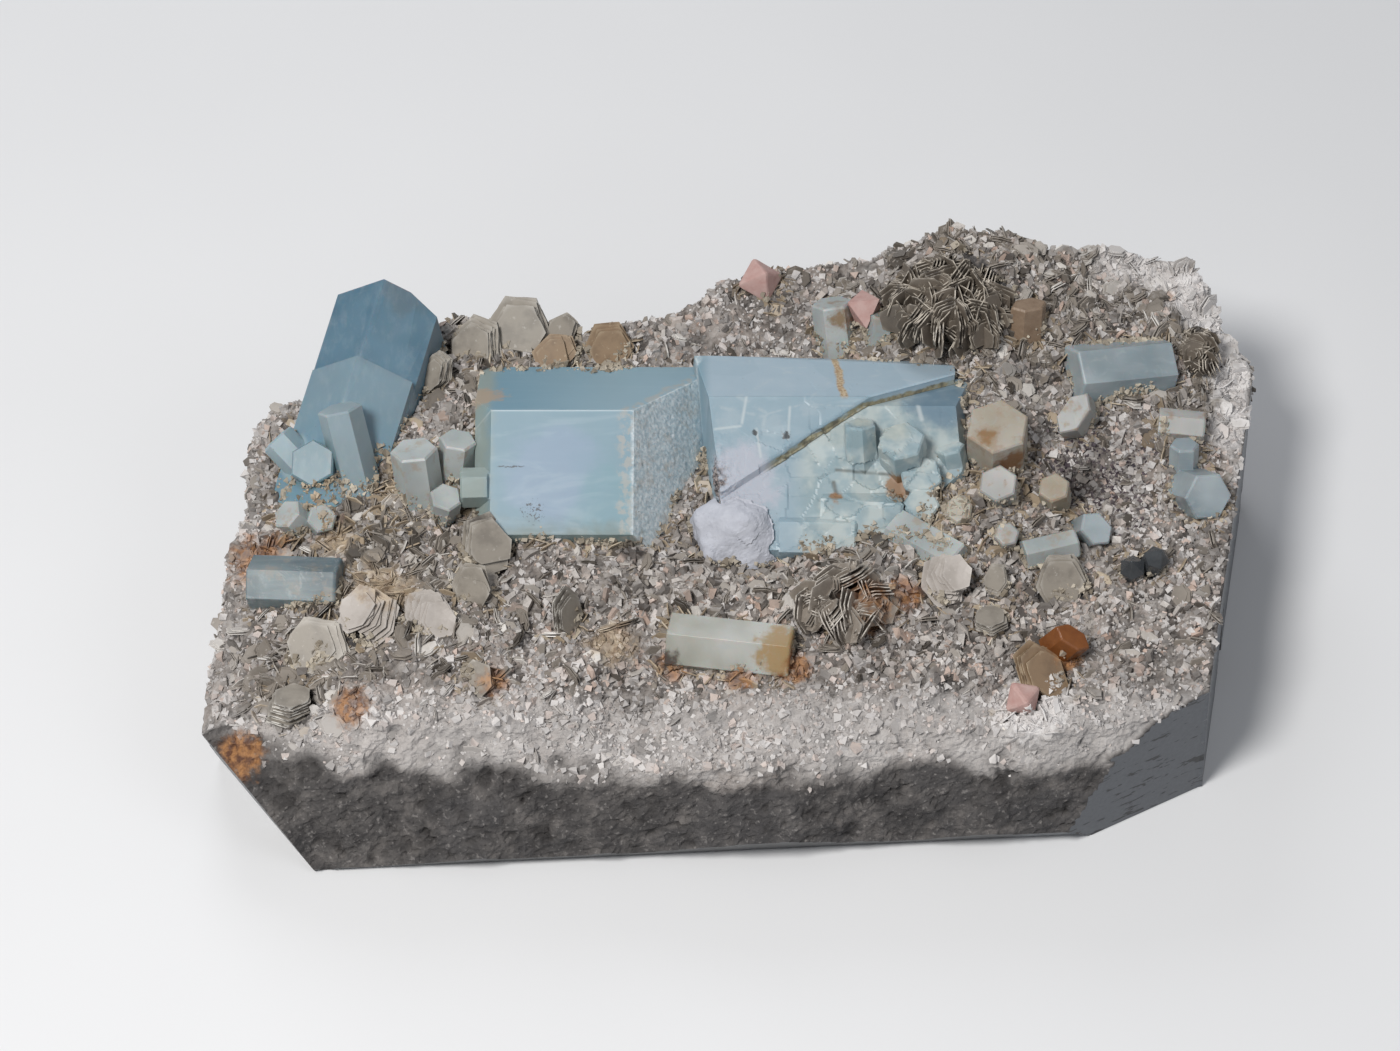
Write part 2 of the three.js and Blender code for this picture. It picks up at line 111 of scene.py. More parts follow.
class Tree:
    """A node tree. Each node comes from its type, its settings and the values of its sockets."""

    def __init__(self, tree):
        self.tree = tree
        tree.nodes.clear()

    def node(self, kind, settings=None, inputs=None, out=0):
        node = self.tree.nodes.new(kind)
        for name, value in (settings or {}).items():
            if name == "stops":
                self.set_stops(node.color_ramp, value)
            else:
                setattr(node, name, value)
        for name, value in (inputs or {}).items():
            if isinstance(value, Value):
                self.tree.links.new(value.socket, node.inputs[name])
            else:
                node.inputs[name].default_value = value
        return Value(self, node.outputs[out]) if len(node.outputs) else node

    def set_stops(self, ramp, stops):
        while len(ramp.elements) > 2:
            ramp.elements.remove(ramp.elements[-1])
        for i, (position, colour) in enumerate(stops):
            element = ramp.elements[i] if i < 2 else ramp.elements.new(position)
            element.position = position
            element.color = colour


def tint(colour):
    """A colour from its 0 to 255 screen values. The value of a socket stays as it is."""
    if isinstance(colour, Value):
        return colour
    shares = [c / 255 for c in colour]
    return (*[s / 12.92 if s < 0.04 else ((s + 0.055) / 1.055) ** 2.4 for s in shares], 1)


class Paint(Tree):
    """A material whose patterns lie on the object's own place, in millimetres."""

    def __init__(self, name):
        self.material = bpy.data.materials.new(name)
        self.material.use_nodes = True
        super().__init__(self.material.node_tree)
        place = self.node("ShaderNodeTexCoord", out="Object")
        self.place = self.vector("SCALE", place, Scale=1 / MM)
        self.rags = {}
        self.colour = None

    def vector(self, operation, *values, out=0, **named):
        inputs = {**dict(enumerate(values)), **named}
        return self.node("ShaderNodeVectorMath", {"operation": operation}, inputs, out)

    def stretched(self, along):
        return self.vector("MULTIPLY", self.place, along)

    def cloud(self, size, detail=3, rough=0.6, place=None, bend=0):
        """Soft noise from 0 to 1, with lumps of that size."""
        inputs = {"Vector": place or self.place, "Scale": 1 / size}
        inputs.update({"Detail": detail, "Roughness": rough, "Distortion": bend})
        return self.node("ShaderNodeTexNoise", None, inputs)

    def cells(self, size, out="Distance", feature="F1", place=None):
        inputs = {"Vector": place or self.place, "Scale": 1 / size}
        return self.node("ShaderNodeTexVoronoi", {"feature": feature}, inputs, out)

    def fade(self, value, start, end):
        """0 before start, 1 after end, and a soft step between. It falls where end is the lower one."""
        inputs = {"Value": value, "From Min": start, "From Max": end}
        return self.node("ShaderNodeMapRange", {"interpolation_type": "SMOOTHSTEP"}, inputs)

    def band(self, value, low, high, soft):
        """1 between low and high."""
        rise = self.fade(value, low - soft, low + soft)
        return rise * (1 - self.fade(value, high - soft, high + soft))

    def spot(self, at, radius, ragged=0.4, size=3):
        """1 at a point, with a ragged edge at that radius."""
        far = self.vector("DISTANCE", self.place, at, out="Value")
        if size not in self.rags:
            self.rags[size] = self.cloud(size, 4) - 0.5
        rag = self.rags[size] * (2.4 * ragged * radius)
        return 1 - self.fade(far + rag, 0.6 * radius, 1.15 * radius)

    def beyond(self, plane):
        """Signed distance in front of a plane."""
        point, facing = plane
        facing = Vector(facing).normalized()
        return self.vector("DOT_PRODUCT", self.place, facing, out="Value") - Vector(point).dot(facing)

    def axis(self, name):
        return self.node("ShaderNodeSeparateXYZ", None, {0: self.place}, name)

    def rod(self, start, end, radius, soft=0.8):
        """1 within that radius of the line through two points."""
        start, end = Vector(start), Vector(end)
        apart = self.vector("SUBTRACT", self.place, start)
        across = self.vector("CROSS_PRODUCT", apart, (end - start).normalized())
        far = self.vector("LENGTH", across, out="Value")
        return 1 - self.fade(far, radius - soft, radius + soft)

    def line(self, start, end, width):
        """1 on a hairline between two points, a little wavering."""
        start, end = Vector(start), Vector(end)
        middle, half = (start + end) / 2, (end - start).length / 2
        far = self.vector("DISTANCE", self.place, middle, out="Value")
        rod = self.rod(start, end, width, 0.2 + width * 0.5)
        return rod * (1 - self.fade(far, half - 0.5, half + 0.5))

    def own(self, name):
        """A number that the mesh carries at each corner."""
        return self.node("ShaderNodeAttribute", {"attribute_name": name}, out="Fac")

    def mix(self, share, under, over):
        inputs = {0: share, 6: tint(under), 7: tint(over)}
        return self.node("ShaderNodeMix", {"data_type": "RGBA"}, inputs, 2)

    def lay(self, share, over):
        """Lays a colour over what the paint has so far."""
        self.colour = self.mix(share, self.colour, over)

    def ramp(self, value, *stops):
        stops = [(at, tint(colour)) for at, colour in stops]
        return self.node("ShaderNodeValToRGB", {"stops": stops}, {0: value})

    def bump(self, height, depth, strength=1.0, under=None):
        inputs = {"Height": height, "Distance": depth * MM, "Strength": strength}
        if under:
            inputs["Normal"] = under
        return self.node("ShaderNodeBump", None, inputs)

    def finish(self, roughness, normal=None, absorb=None, **constants):
        inputs = {"Base Color": self.colour, "Roughness": roughness}
        inputs.update({name.replace("_", " "): value for name, value in constants.items()})
        if normal:
            inputs["Normal"] = normal
        shader = self.node("ShaderNodeBsdfPrincipled", None, inputs)
        ends = {"Surface": shader}
        if absorb:
            inside, density = absorb
            inputs = {"Color": inside, "Density": density}
            ends["Volume"] = self.node("ShaderNodeVolumeAbsorption", None, inputs)
        self.node("ShaderNodeOutputMaterial", None, ends)
        return self.material


# Camera, light and floor

CAMERA_HEIGHT = math.radians(48)
CAMERA_FAR = 1.0
LOOKED_AT = (0, 0, 45)
FLOOR_LEVEL = -0.3


def placed(thing):
    bpy.context.scene.collection.objects.link(thing)
    return thing


def mesh_from(shape, name):
    """The mesh of a shape. The shape is given up."""
    mesh = bpy.data.meshes.new(name)
    shape.to_mesh(mesh)
    shape.free()
    return mesh


def set_camera():
    data = bpy.data.cameras.new("camera")
    data.lens = 85
    data.sensor_width = 36
    camera = placed(bpy.data.objects.new("camera", data))
    back = Vector((0, -math.cos(CAMERA_HEIGHT), math.sin(CAMERA_HEIGHT)))
    camera.location = Vector(LOOKED_AT) * MM + back * CAMERA_FAR
    camera.rotation_euler = (math.pi / 2 - CAMERA_HEIGHT, 0, 0)
    bpy.context.scene.camera = camera


def add_lamp(name, place, size, power, colour):
    data = bpy.data.lights.new(name, "AREA")
    data.shape = "DISK"
    data.size = size
    data.energy = power
    data.color = colour
    lamp = placed(bpy.data.objects.new(name, data))
    lamp.location = place
    lamp.rotation_euler = (-Vector(place)).to_track_quat("-Z", "Y").to_euler()


def set_studio():
    add_lamp("key", (-0.5, -0.6, 1.2), 0.4, 16, (1, 0.98, 0.95))
    add_lamp("fill", (0.9, -0.5, 0.8), 0.8, 2.0, (0.95, 0.97, 1))
    add_lamp("rim", (-0.3, 1.0, 0.8), 0.6, 3.2, (0.95, 0.97, 1))
    world = bpy.data.worlds.new("studio")
    world.use_nodes = True
    sky = world.node_tree.nodes["Background"]
    sky.inputs["Color"].default_value = (0.82, 0.84, 0.88, 1)
    sky.inputs["Strength"].default_value = 0.24
    bpy.context.scene.world = world
    bpy.context.scene.view_settings.view_transform = "Standard"


def lay_floor():
    shape = bmesh.new()
    bmesh.ops.create_grid(shape, x_segments=1, y_segments=1, size=3)
    bmesh.ops.translate(shape, verts=shape.verts, vec=(0, 0, FLOOR_LEVEL * MM))
    mesh = mesh_from(shape, "floor")
    floor = placed(bpy.data.objects.new("floor", mesh))
    paint = Paint("floor")
    paint.colour = paint.mix(paint.cloud(180, 2), (226, 227, 229), (232, 233, 235))
    mesh.materials.append(paint.finish(0.9))


# Making of meshes

JOINED = 0.01  # corners nearer than this are one
NET_DEPTH = 8


def finished(name, mesh, slot, *materials):
    """A piece from a mesh that has its place in it."""
    piece = placed(bpy.data.objects.new(name, mesh))
    for material in materials:
        mesh.materials.append(material)
    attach(piece, "root")
    return piece


def mesh_of(shape, name):
    """The mesh of a finished shape, kept inside the CAD model's box."""
    low, high = CAD_BOX
    for v in shape.verts:
        v.co = [min(max(c, a), b) for c, a, b in zip(v.co, low, high)]
    for face in shape.faces:
        face.smooth = False
    return mesh_from(shape, name)


def merged(*nodes):
    """A copy of the shape of CAD nodes with its corners joined."""
    shape = bmesh.new()
    for node in nodes:
        shape.from_mesh(NODES[node].data)
    bmesh.ops.remove_doubles(shape, verts=shape.verts, dist=JOINED * MM)
    return shape


def open_edges(shape):
    return [e for e in shape.edges if e.is_boundary]


def applied(thing):
    """The mesh that an object's modifiers give. The object is removed."""
    placed(thing)
    bpy.context.view_layer.update()
    depsgraph = bpy.context.evaluated_depsgraph_get()
    mesh = bpy.data.meshes.new_from_object(thing.evaluated_get(depsgraph))
    bpy.data.objects.remove(thing)
    return mesh


def netted(shape, size, crisp=False):
    """The same shape as an even net of faces of that size. A crisp net keeps the edges."""
    thing = bpy.data.objects.new("net", mesh_from(shape, "net"))
    modifier = thing.modifiers.new("net", "REMESH")
    if crisp:
        modifier.mode = "SHARP"
        modifier.octree_depth = NET_DEPTH
        modifier.scale = max(thing.dimensions) / (size * MM * 2 ** NET_DEPTH)
        modifier.use_remove_disconnected = False
    else:
        modifier.mode = "VOXEL"
        modifier.voxel_size = size * MM
    net = bmesh.new()
    net.from_mesh(applied(thing))
    return net


def sculpt(shape, lift):
    """Moves each corner along its normal by lift(place, normal), and keeps that height with it."""
    shape.normal_update()
    height = shape.verts.layers.float.new("height")
    moves = [(v, lift(v.co / MM, v.normal)) for v in shape.verts]
    steps = [v.normal * (move * MM) for v, move in moves]
    for (v, move), step in zip(moves, steps):
        v.co += step
        v[height] = move


def chips(place, size):
    """Height of flat tilted chips, for a chip one unit wide."""
    here = place / size
    middle = noise.voronoi(here)[1][0]
    tilt = noise.noise_vector(middle * 5.3)
    return tilt.dot(here - middle) + 0.5 * noise.noise(middle * 3.1)


def rough(place, size, octaves=3):
    return noise.fractal(place / size, 1.0, 2.0, octaves)


def hill(place, at, radius):
    """1 at a point, and a soft fall from it."""
    apart = (place - Vector(at)).length / radius
    return math.exp(-apart * apart)


def hills(place, spots):
    return sum(hill(place, at, radius) for *at, radius in spots)


def facing_of(plane):
    return Vector(plane[1]).normalized()


def height_over(plane, place):
    return (place - Vector(plane[0])).dot(facing_of(plane))


def tree_of(*meshes):
    corners, faces = [], []
    for mesh in meshes:
        start = len(corners)
        corners += [v.co.copy() for v in mesh.vertices]
        faces += [[start + i for i in p.vertices] for p in mesh.polygons]
    return BVHTree.FromPolygons(corners, faces)


# The rock

ROCK_NET = 1.4
SEAT_GAP = 0.8  # no wall of a seat lies farther than this from its crystal
SAWN_OFF = 0.8  # what reaches nearer than this to a saw cut is planed onto it
ON_CUT = 0.01

crystals_tree = tree_of(*[NODES[name].data for name in CRYSTALS])


def close_sockets(shape):
    """Takes off the walls of the seats that the crystals stand in, and closes the rock over them."""
    gaps = [(f, crystals_tree.find_nearest(f.calc_center_median())[3]) for f in shape.faces]
    doomed = [f for f, gap in gaps if gap < SEAT_GAP * MM]
    while doomed:
        bmesh.ops.delete(shape, geom=doomed, context="FACES")
        pinched = {v for v in shape.verts if sum(e.is_boundary for e in v.link_edges) > 2}
        pinched |= {v for e in shape.edges if len(e.link_faces) > 2 for v in e.verts}
        doomed = list({f for v in pinched for f in v.link_faces} | loose_scraps(shape))
    bmesh.ops.holes_fill(shape, edges=open_edges(shape))
    bmesh.ops.triangle_fill(shape, edges=open_edges(shape), use_beauty=True)
    large = [f for f in shape.faces if len(f.verts) > 3]
    bmesh.ops.triangulate(shape, faces=large)
    bmesh.ops.recalc_face_normals(shape, faces=shape.faces)


def loose_scraps(shape):
    """The faces that aren't joined to the largest run of faces."""
    runs, seen = [], set()
    for first in shape.faces:
        if first in seen:
            continue
        run, edge = set(), {first}
        while edge:
            run |= edge
            edge = {g for f in edge for e in f.edges for g in e.link_faces} - run
        runs.append(run)
        seen |= run
    largest = max(runs, key=len)
    return seen - largest


def saw(shape):
    """Planes the rock off at the saw cuts, and marks the sawn faces."""
    for v in shape.verts:
        for plane in SAW_CUTS:
            over = height_over(plane, v.co / MM)
            if over > -SAWN_OFF:
                v.co -= facing_of(plane) * (over * MM)
    for face in shape.faces:
        for plane in SAW_CUTS:
            if all(height_over(plane, v.co / MM) > -ON_CUT for v in face.verts):
                face.material_index = 1


def rock_lift(place, normal):
    for plane in SAW_CUTS:
        if abs(height_over(plane, place)) < 1 and normal.dot(facing_of(plane)) > 0.8:
            return 0
    if normal.z < 0.45:  # broken faces
        return 1.7 * chips(place, 10) + 1.0 * chips(place, 4.2) + 0.8 * rough(place, 2.6)
    crumbly = 0.6 + hill(place, (110, -45, 50), 50) + 0.7 * hill(place, (0, 80, 60), 60)
    return 1.5 * chips(place, 5.2) * crumbly + 1.3 * rough(place, 9) + 0.8 * rough(place, 2.4)


def build_rock():
    shape = merged("matrix")
    close_sockets(shape)
    shape = netted(shape, ROCK_NET)
    sculpt(shape, rock_lift)
    saw(shape)
    return shape


# Small things scattered on the rock

FULL_TURN = 6.28
SQUARE_CM = (10 * MM) ** 2


class Scatter(Tree):
    """Geometry nodes that put copies of one small shape on the ground, as real faces."""

    def __init__(self, ground, shape):
        self.group = bpy.data.node_groups.new("scatter", "GeometryNodeTree")
        super().__init__(self.group)
        for way in ("INPUT", "OUTPUT"):
            self.group.interface.new_socket("Geometry", in_out=way, socket_type="NodeSocketGeometry")
        self.ground = ground
        self.source = self.node("NodeGroupInput")
        self.shape = self.node("GeometryNodeObjectInfo", None, {"Object": shape}, "Geometry")

    def chance(self, low, high, seed):
        return self.node("FunctionNodeRandomValue", {"data_type": "FLOAT"}, {2: low, 3: high, 8: seed}, 1)

    def triple(self, x, y, z):
        return self.node("ShaderNodeCombineXYZ", None, {0: x, 1: y, 2: z})

    def spread(self, weight, per_cm2, seed):
        where = self.node("GeometryNodeInputNamedAttribute", {"data_type": "FLOAT"}, {"Name": weight})
        density = where * (per_cm2 / SQUARE_CM)
        inputs = {"Mesh": self.source, "Density": density, "Seed": seed}
        self.points = self.node("GeometryNodeDistributePointsOnFaces", None, inputs)

    def build(self, name, turn, scale, seed):
        inputs = {"Points": self.points, "Instance": self.shape, "Rotation": turn, "Scale": scale}
        copies = self.node("GeometryNodeInstanceOnPoints", None, inputs)
        settings = {"data_type": "FLOAT", "domain": "INSTANCE"}
        inputs = {"Geometry": copies, "Name": "shade", "Value": self.chance(0.0, 1.0, seed)}
        shaded = self.node("GeometryNodeStoreNamedAttribute", settings, inputs)
        inputs = {"Geometry": shaded, "Name": "natural", "Value": 1.0}
        shaded = self.node("GeometryNodeStoreNamedAttribute", settings, inputs)
        real = self.node("GeometryNodeRealizeInstances", None, {"Geometry": shaded})
        self.node("NodeGroupOutput", None, {0: real})
        thing = bpy.data.objects.new(name, self.ground.copy())
        thing.modifiers.new("scatter", "NODES").node_group = self.group
        shape = bmesh.new()
        shape.from_mesh(applied(thing))
        return mesh_of(shape, name)


def small_shape(name, make):
    shape = bmesh.new()
    make(shape)
    return bpy.data.objects.new(name, mesh_from(shape, name))


def prism(shape, sides, bottom, top, depth):
    size = {"radius1": bottom, "radius2": top, "depth": depth}
    return bmesh.ops.create_cone(shape, cap_ends=True, segments=sides, **size)["verts"]


def uneven_prism(shape, sides, bottom, top, depth, off, seed):
    """A prism of a few sides, with its corners off their places by up to that much."""
    prism(shape, sides, bottom, top, depth)
    chance = random.Random(seed)
    for v in shape.verts:
        v.co += Vector([chance.uniform(-off, off) for _ in range(3)])


def splinter(shape):
    uneven_prism(shape, 3, 0.62, 0.45, 0.8, 0.12, 3)


def platelet(shape):
    uneven_prism(shape, 5, 0.55, 0.47, 0.34, 0.09, 8)


def six_sided_flake(shape):
    for v in prism(shape, 6, 0.5, 0.47, 0.07):
        v.co.x *= 1.25


# Turn, tip and slide of each sheet of a packet
PACKET = [(0, 0, 0), (0.2, 0.07, 0.06), (-0.15, -0.04, -0.05)]


def mica_packet(shape):
    """Three sheets on each other, a little apart and askew."""
    for k, (turned, tipped, slid) in enumerate(PACKET):
        less = 0.06 * k
        sheet = prism(shape, 6, 0.5 - less, 0.49 - less, 0.035)
        turn = Matrix.Rotation(turned, 4, "Z") @ Matrix.Rotation(tipped, 4, "X")
        move = Matrix.Translation((slid, slid / 2, 0.065 * k)) @ turn
        bmesh.ops.transform(shape, matrix=move @ Matrix.Diagonal((1.2, 1, 1, 1)), verts=sheet)


def scatter_blocks(name, make, ground, weight, per_cm2, sizes, seed):
    """Grains turned all ways: many small ones and a few large."""
    spread = Scatter(ground, small_shape("grain", make))
    spread.spread(weight, per_cm2, seed)
    turn = spread.triple(*[spread.chance(0.0, FULL_TURN, seed + k) for k in (1, 2, 3)])
    share = spread.chance(0.0, 1.0, seed + 4)
    size = share * share * share * ((sizes[1] - sizes[0]) * MM) + sizes[0] * MM
    wide, deep = spread.chance(0.7, 1.4, seed + 5), spread.chance(0.6, 1.2, seed + 6)
    scale = spread.triple(size * wide, size * deep, size)
    return spread.build(name, turn, scale, seed + 7)


def scatter_flakes(name, make, ground, weight, per_cm2, sizes, seed, upright):
    """Mica on edge. Neighbours face alike, so they stand in packets."""
    spread = Scatter(ground, small_shape("flake", make))
    spread.spread(weight, per_cm2, seed)
    packet = spread.node("ShaderNodeTexNoise", None, {"Scale": 90.0, "Detail": 1.0})
    heading = packet * 30 + spread.chance(-0.9, 0.9, seed + 1)
    tilt = upright + spread.chance(-0.9, 0.5, seed + 2)
    turn = spread.triple(tilt, spread.chance(-0.4, 0.4, seed + 3), heading)
    share = spread.chance(0.0, 1.0, seed + 4)
    size = share * share * ((sizes[1] - sizes[0]) * MM) + sizes[0] * MM
    scale = spread.triple(size, size * spread.chance(0.6, 1.0, seed + 5), size)
    return spread.build(name, turn, scale, seed + 6)


WEIGHTS = ("sugar", "blocks", "flakes", "dark", "crust", "natural")

# Where each kind of small thing is thick: the middles and radii of its hills
LEFT_MICA = [(-90, -34, 50, 30), (-118, -58, 44, 16), (-100, 0, 55, 16)]
NEST_MICA = [(36, -30, 55, 17)]
REAR_MICA = [(112, 76, 75, 26), (78, 67, 76, 26), (152, 58, 62, 20)]
FRONT_GRAINS = [(-15, -26, 50, 28), (20, -28, 50, 20)]
CREAM_FEET = [(-95, 2, 56, 12), (-110, -11, 54, 9), (78, 6, 56, 10)]
NEAR_BLADES = [(-98, 2, 58, 14), (78, -4, 55, 16)]
FAR_BLADES = [(-113, 5, 48, 12), (-65, 24, 62, 10)]

BARE = 0.4  # nothing small stands nearer than this to a crystal or a saw cut
FRONT_EDGE = -66  # the broken front begins here
FEET_NET = 1.5
FEET_GAP = 0.2  # a foot's crust starts this far over the rock
LIE_STEPS = 30


def rise(value, start, end):
    """0 before start, 1 after end."""
    return min(1, max(0, (value - start) / (end - start)))


def weigh(shape):
    """How much of each small thing stands at each place of the rock."""
    layers = {name: shape.verts.layers.float.new(name) for name in WEIGHTS}
    shape.normal_update()
    for v in shape.verts:
        place = v.co / MM
        near, normal, _, apart = crystals_tree.find_nearest(v.co)
        bare = apart < BARE * MM or (v.co - near).dot(normal) < 0
        sawn = any(abs(height_over(plane, place)) < BARE for plane in SAW_CUTS)
        if bare or sawn:
            continue
        right_rim = rise(place.x, 146, 156) * rise(place.y, 10, 30)
        rim = max(rise(-place.x, 128, 138), right_rim, rise(place.y, 78, 88))
        top = rise(v.normal.z, 0.5 - 0.5 * rim, 0.7 - 0.45 * rim)
        at_front = place.y < FRONT_EDGE
        above_break = rise(place.z + 5 * noise.noise(place / 9), 30, 36) if at_front else 1
        top *= above_break
        v[layers["natural"]] = above_break if at_front else max(top, rise(v.normal.z, 0.1, 0.55))
        if top == 0 or place.z < 24 + 16 * noise.noise(place / 14):
            continue
        clumps = 0.25 + 0.75 * rise(noise.noise(place / 3.4), -0.35, 0.15)
        patchy = rise(noise.noise(place / 12), -0.35, 0.3)
        left, nest, rear = [hills(place, spots) for spots in (LEFT_MICA, NEST_MICA, REAR_MICA)]
        front = hills(place, FRONT_GRAINS)
        flakes = 0.07 + left + nest + rear + 0.5 * hill(place, (-60, 66, 58), 24) + 0.12 * front
        blocks = hill(place, (90, -40, 50), 40) + front + 0.8 * hill(place, (-60, 74, 58), 50) + 0.5 * rear
        blocks = min(1, blocks)
        dark = min(1, hill(place, (120, 12, 52), 16))
        fine_rim = 1 - 0.75 * rise(-place.y, 56, 70)
        v[layers["flakes"]] = top * min(1, flakes) * (0.25 + 0.75 * patchy) * fine_rim
        v[layers["blocks"]] = top * blocks * clumps * fine_rim
        v[layers["sugar"]] = top * clumps * (1 - 0.6 * min(1, left + nest)) * (1 - 0.4 * blocks)
        v[layers["dark"]] = top * dark * patchy
        cream = min(1, hills(place, CREAM_FEET))
        v[layers["crust"]] = cream + top * rise(-apart / MM, -5, -1.5) * (0.4 + 0.6 * patchy)


def crystal_feet(rock_tree):
    """The crystals' surface as a net, weighed by how near it is to the rock it stands in."""
    shape = netted(merged(*CRYSTALS), FEET_NET)
    layer = shape.verts.layers.float.new("foot")
    for v in shape.verts:
        place = v.co / MM
        near, normal, _, apart = rock_tree.find_nearest(v.co)
        if (v.co - near).dot(normal) < FEET_GAP * MM:
            continue
        clumps = rise(noise.noise(place / 6), -0.1, 0.3)
        blades = hills(place, NEAR_BLADES) + hills(place, FAR_BLADES)
        reach = 0.8 + 3 * clumps + 5 * min(1, blades)
        v[layer] = rise(-apart / MM, -reach, -0.5 * reach) * (0.4 + clumps)
    return mesh_of(shape, "feet")


# Mica books of many sheets

def lie_of(node):
    """Middle of a CAD book, the direction its sheets face, one across them, its radius and thickness."""
    shape = merged(node)
    spread = Matrix(((0, 0, 0), (0, 0, 0), (0, 0, 0)))
    for face in shape.faces:
        n = face.normal
        outer = Matrix([[n[i] * n[j] for j in range(3)] for i in range(3)])
        spread = spread + outer * (face.calc_area() / MM ** 2)
    out = Vector((0, -0.3, 1)).normalized()
    for _ in range(LIE_STEPS):
        out = (spread @ out).normalized()
    if out.dot(Vector((0, -0.4, 1))) < 0:
        out = -out
    corners = [v.co / MM for v in shape.verts]
    shape.free()
    middle = sum(corners, Vector()) / len(corners)
    heights = [(c - middle).dot(out) for c in corners]
    middle += out * (max(heights) + min(heights)) / 2
    flat = [(c - middle) - out * (c - middle).dot(out) for c in corners]
    across = max(flat, key=lambda c: c.length)
    return middle, out, across.normalized(), across.length, max(heights) - min(heights)


def add_sheet(shape, middle, out, across, radius, thick, curl, cut, slim, chance):
    """One mica sheet: six-sided with an uneven edge, bent by curl, with some of it broken off by cut."""
    sheet = bmesh.new()
    bmesh.ops.create_circle(sheet, cap_ends=True, cap_tris=True, segments=6, radius=radius)
    spokes = [e for e in sheet.edges if not e.is_boundary]
    bmesh.ops.subdivide_edges(sheet, edges=spokes, cuts=1)
    rim = open_edges(sheet)
    bmesh.ops.subdivide_edges(sheet, edges=rim, cuts=2)
    bmesh.ops.triangulate(sheet, faces=sheet.faces)
    reach = sheet.verts.layers.float.new("reach")
    for v in sheet.verts:
        v[reach] = v.co.length / radius
        v.co *= chance.uniform(0.95, 1.0)
        v.co.y *= slim
        v.co.x = min(v.co.x, radius * (1 - cut) + 0.3 * v.co.y * cut)
        v.co.z = curl * v.co.length_squared / radius
    bmesh.ops.solidify(sheet, geom=sheet.faces[:], thickness=thick)
    bmesh.ops.recalc_face_normals(sheet, faces=sheet.faces)
    turn = Matrix((across, out.cross(across), out)).transposed().to_4x4()
    move = Matrix.Translation(middle * MM) @ turn @ Matrix.Scale(MM, 4)
    bmesh.ops.transform(sheet, matrix=move, verts=sheet.verts)
    rims = sheet.faces.layers.float.new("rim")
    sheet.normal_update()
    for face in sheet.faces:
        face[rims] = 1 - rise(abs(face.normal.dot(out)), 0.5, 0.8)
    loose = mesh_from(sheet, "sheet")
    shape.from_mesh(loose)
    bpy.data.meshes.remove(loose)


def book(name, paint, sheets=9, fray=0.07, curl=0.0, grow=1.04, taper=0.14, fan=0.1, twist=0.09):
    """A mica book on the lie of its CAD node, built up of sheets that differ in size and turn."""
    chance = random.Random(name)
    middle, out, across, radius, thick = lie_of(name)
    shape = bmesh.new()
    bend = chance.uniform(0.5, 1) * curl
    slim = chance.uniform(0.68, 0.96)
    slope = across.copy()
    slope.rotate(Matrix.Rotation(chance.uniform(0, FULL_TURN), 3, out))
    for i in range(sheets):
        share = i / max(1, sheets - 1)
        turned = across.copy()
        turned.rotate(Matrix.Rotation(chance.uniform(-twist, twist), 3, out))
        leaned = (out + turned * chance.uniform(-0.04, 0.04)).normalized()
        turned = (turned - leaned * turned.dot(leaned)).normalized()
        slid = turned * chance.uniform(-fray, fray) * radius + slope * (share - 0.5) * fan * radius
        slid += out.cross(turned) * chance.uniform(-fray, fray) * radius
        at = middle + out * (share - 0.5) * thick * 1.1 + slid
        size = radius * grow * (1 - taper * share) * chance.uniform(0.86, 1.0)
        broken = chance.choice((0, 0.1, 0.25, 0.4, 0.5))
        add_sheet(shape, at, leaned, turned, size, 0.62 * thick / sheets, bend, broken, slim, chance)
    piece = finished(name + "_sheets", mesh_of(shape, name), "mica", paint)
    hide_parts(name)


GOLDEN_ANGLE = 2.39996


def sheaf(name, paint, sheets, radius, upright, seed, hollow=0.0, petals=0.0):
    """A cluster of mica sheets about a mound. They lean out like petals, or each its own way."""
    chance = random.Random(seed)
    low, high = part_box(name)
    middle = (low + high) / 2 / MM
    half = (high - low) / 2 / MM
    shape = bmesh.new()
    for i in range(sheets):
        reach = hollow + (1 - hollow) * math.sqrt((i + 0.5) / sheets)
        angle = i * GOLDEN_ANGLE
        at = middle + Vector((
            math.cos(angle) * reach * half.x * 0.86,
            math.sin(angle) * reach * half.y * 0.86,
            (0.4 - 0.8 * reach * reach) * half.z,
        ))
        heading = angle * (1 + 0.7 * (1 - petals)) + chance.uniform(-0.6, 0.6)
        out = Vector((math.cos(heading), math.sin(heading), 0)) * upright
        rising = Vector((chance.uniform(-0.4, 0.4), chance.uniform(-0.5, 0.2), 1))
        out += rising * (1 - upright + chance.uniform(-0.3, 0.3))
        out.normalize()
        across = out.cross(Vector((chance.uniform(-1, 1), chance.uniform(-1, 1), 1))).normalized()
        size = radius * chance.uniform(0.45, 1.1)
        slim = chance.uniform(0.6, 1)
        for k in range(chance.choice((1, 2, 3, 4))):
            shifted = at + out * k + across * chance.uniform(-0.4, 0.4)
            leaned = (out + across * chance.uniform(-0.08, 0.08)).normalized()
            turned = (across - leaned * across.dot(leaned)).normalized()
            add_sheet(shape, shifted, leaned, turned, size * (1 - 0.1 * k), 0.34, 0.05,
                      chance.choice((0, 0, 0.2, 0.4)), slim, chance)
    piece = finished(name + "_sheets", mesh_of(shape, name), "mica", paint)
    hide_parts(name)


# The large lying crystal and the powder beside it

FRONT_FACE = ((0, -10, 52), (0, -0.555, 0.832))
CRYSTAL_NET = 0.66
CRYSTAL_BOTTOM = 40  # a little under the rock's surface
POWDER_NET = 0.8
POWDER_SMOOTHINGS = 14


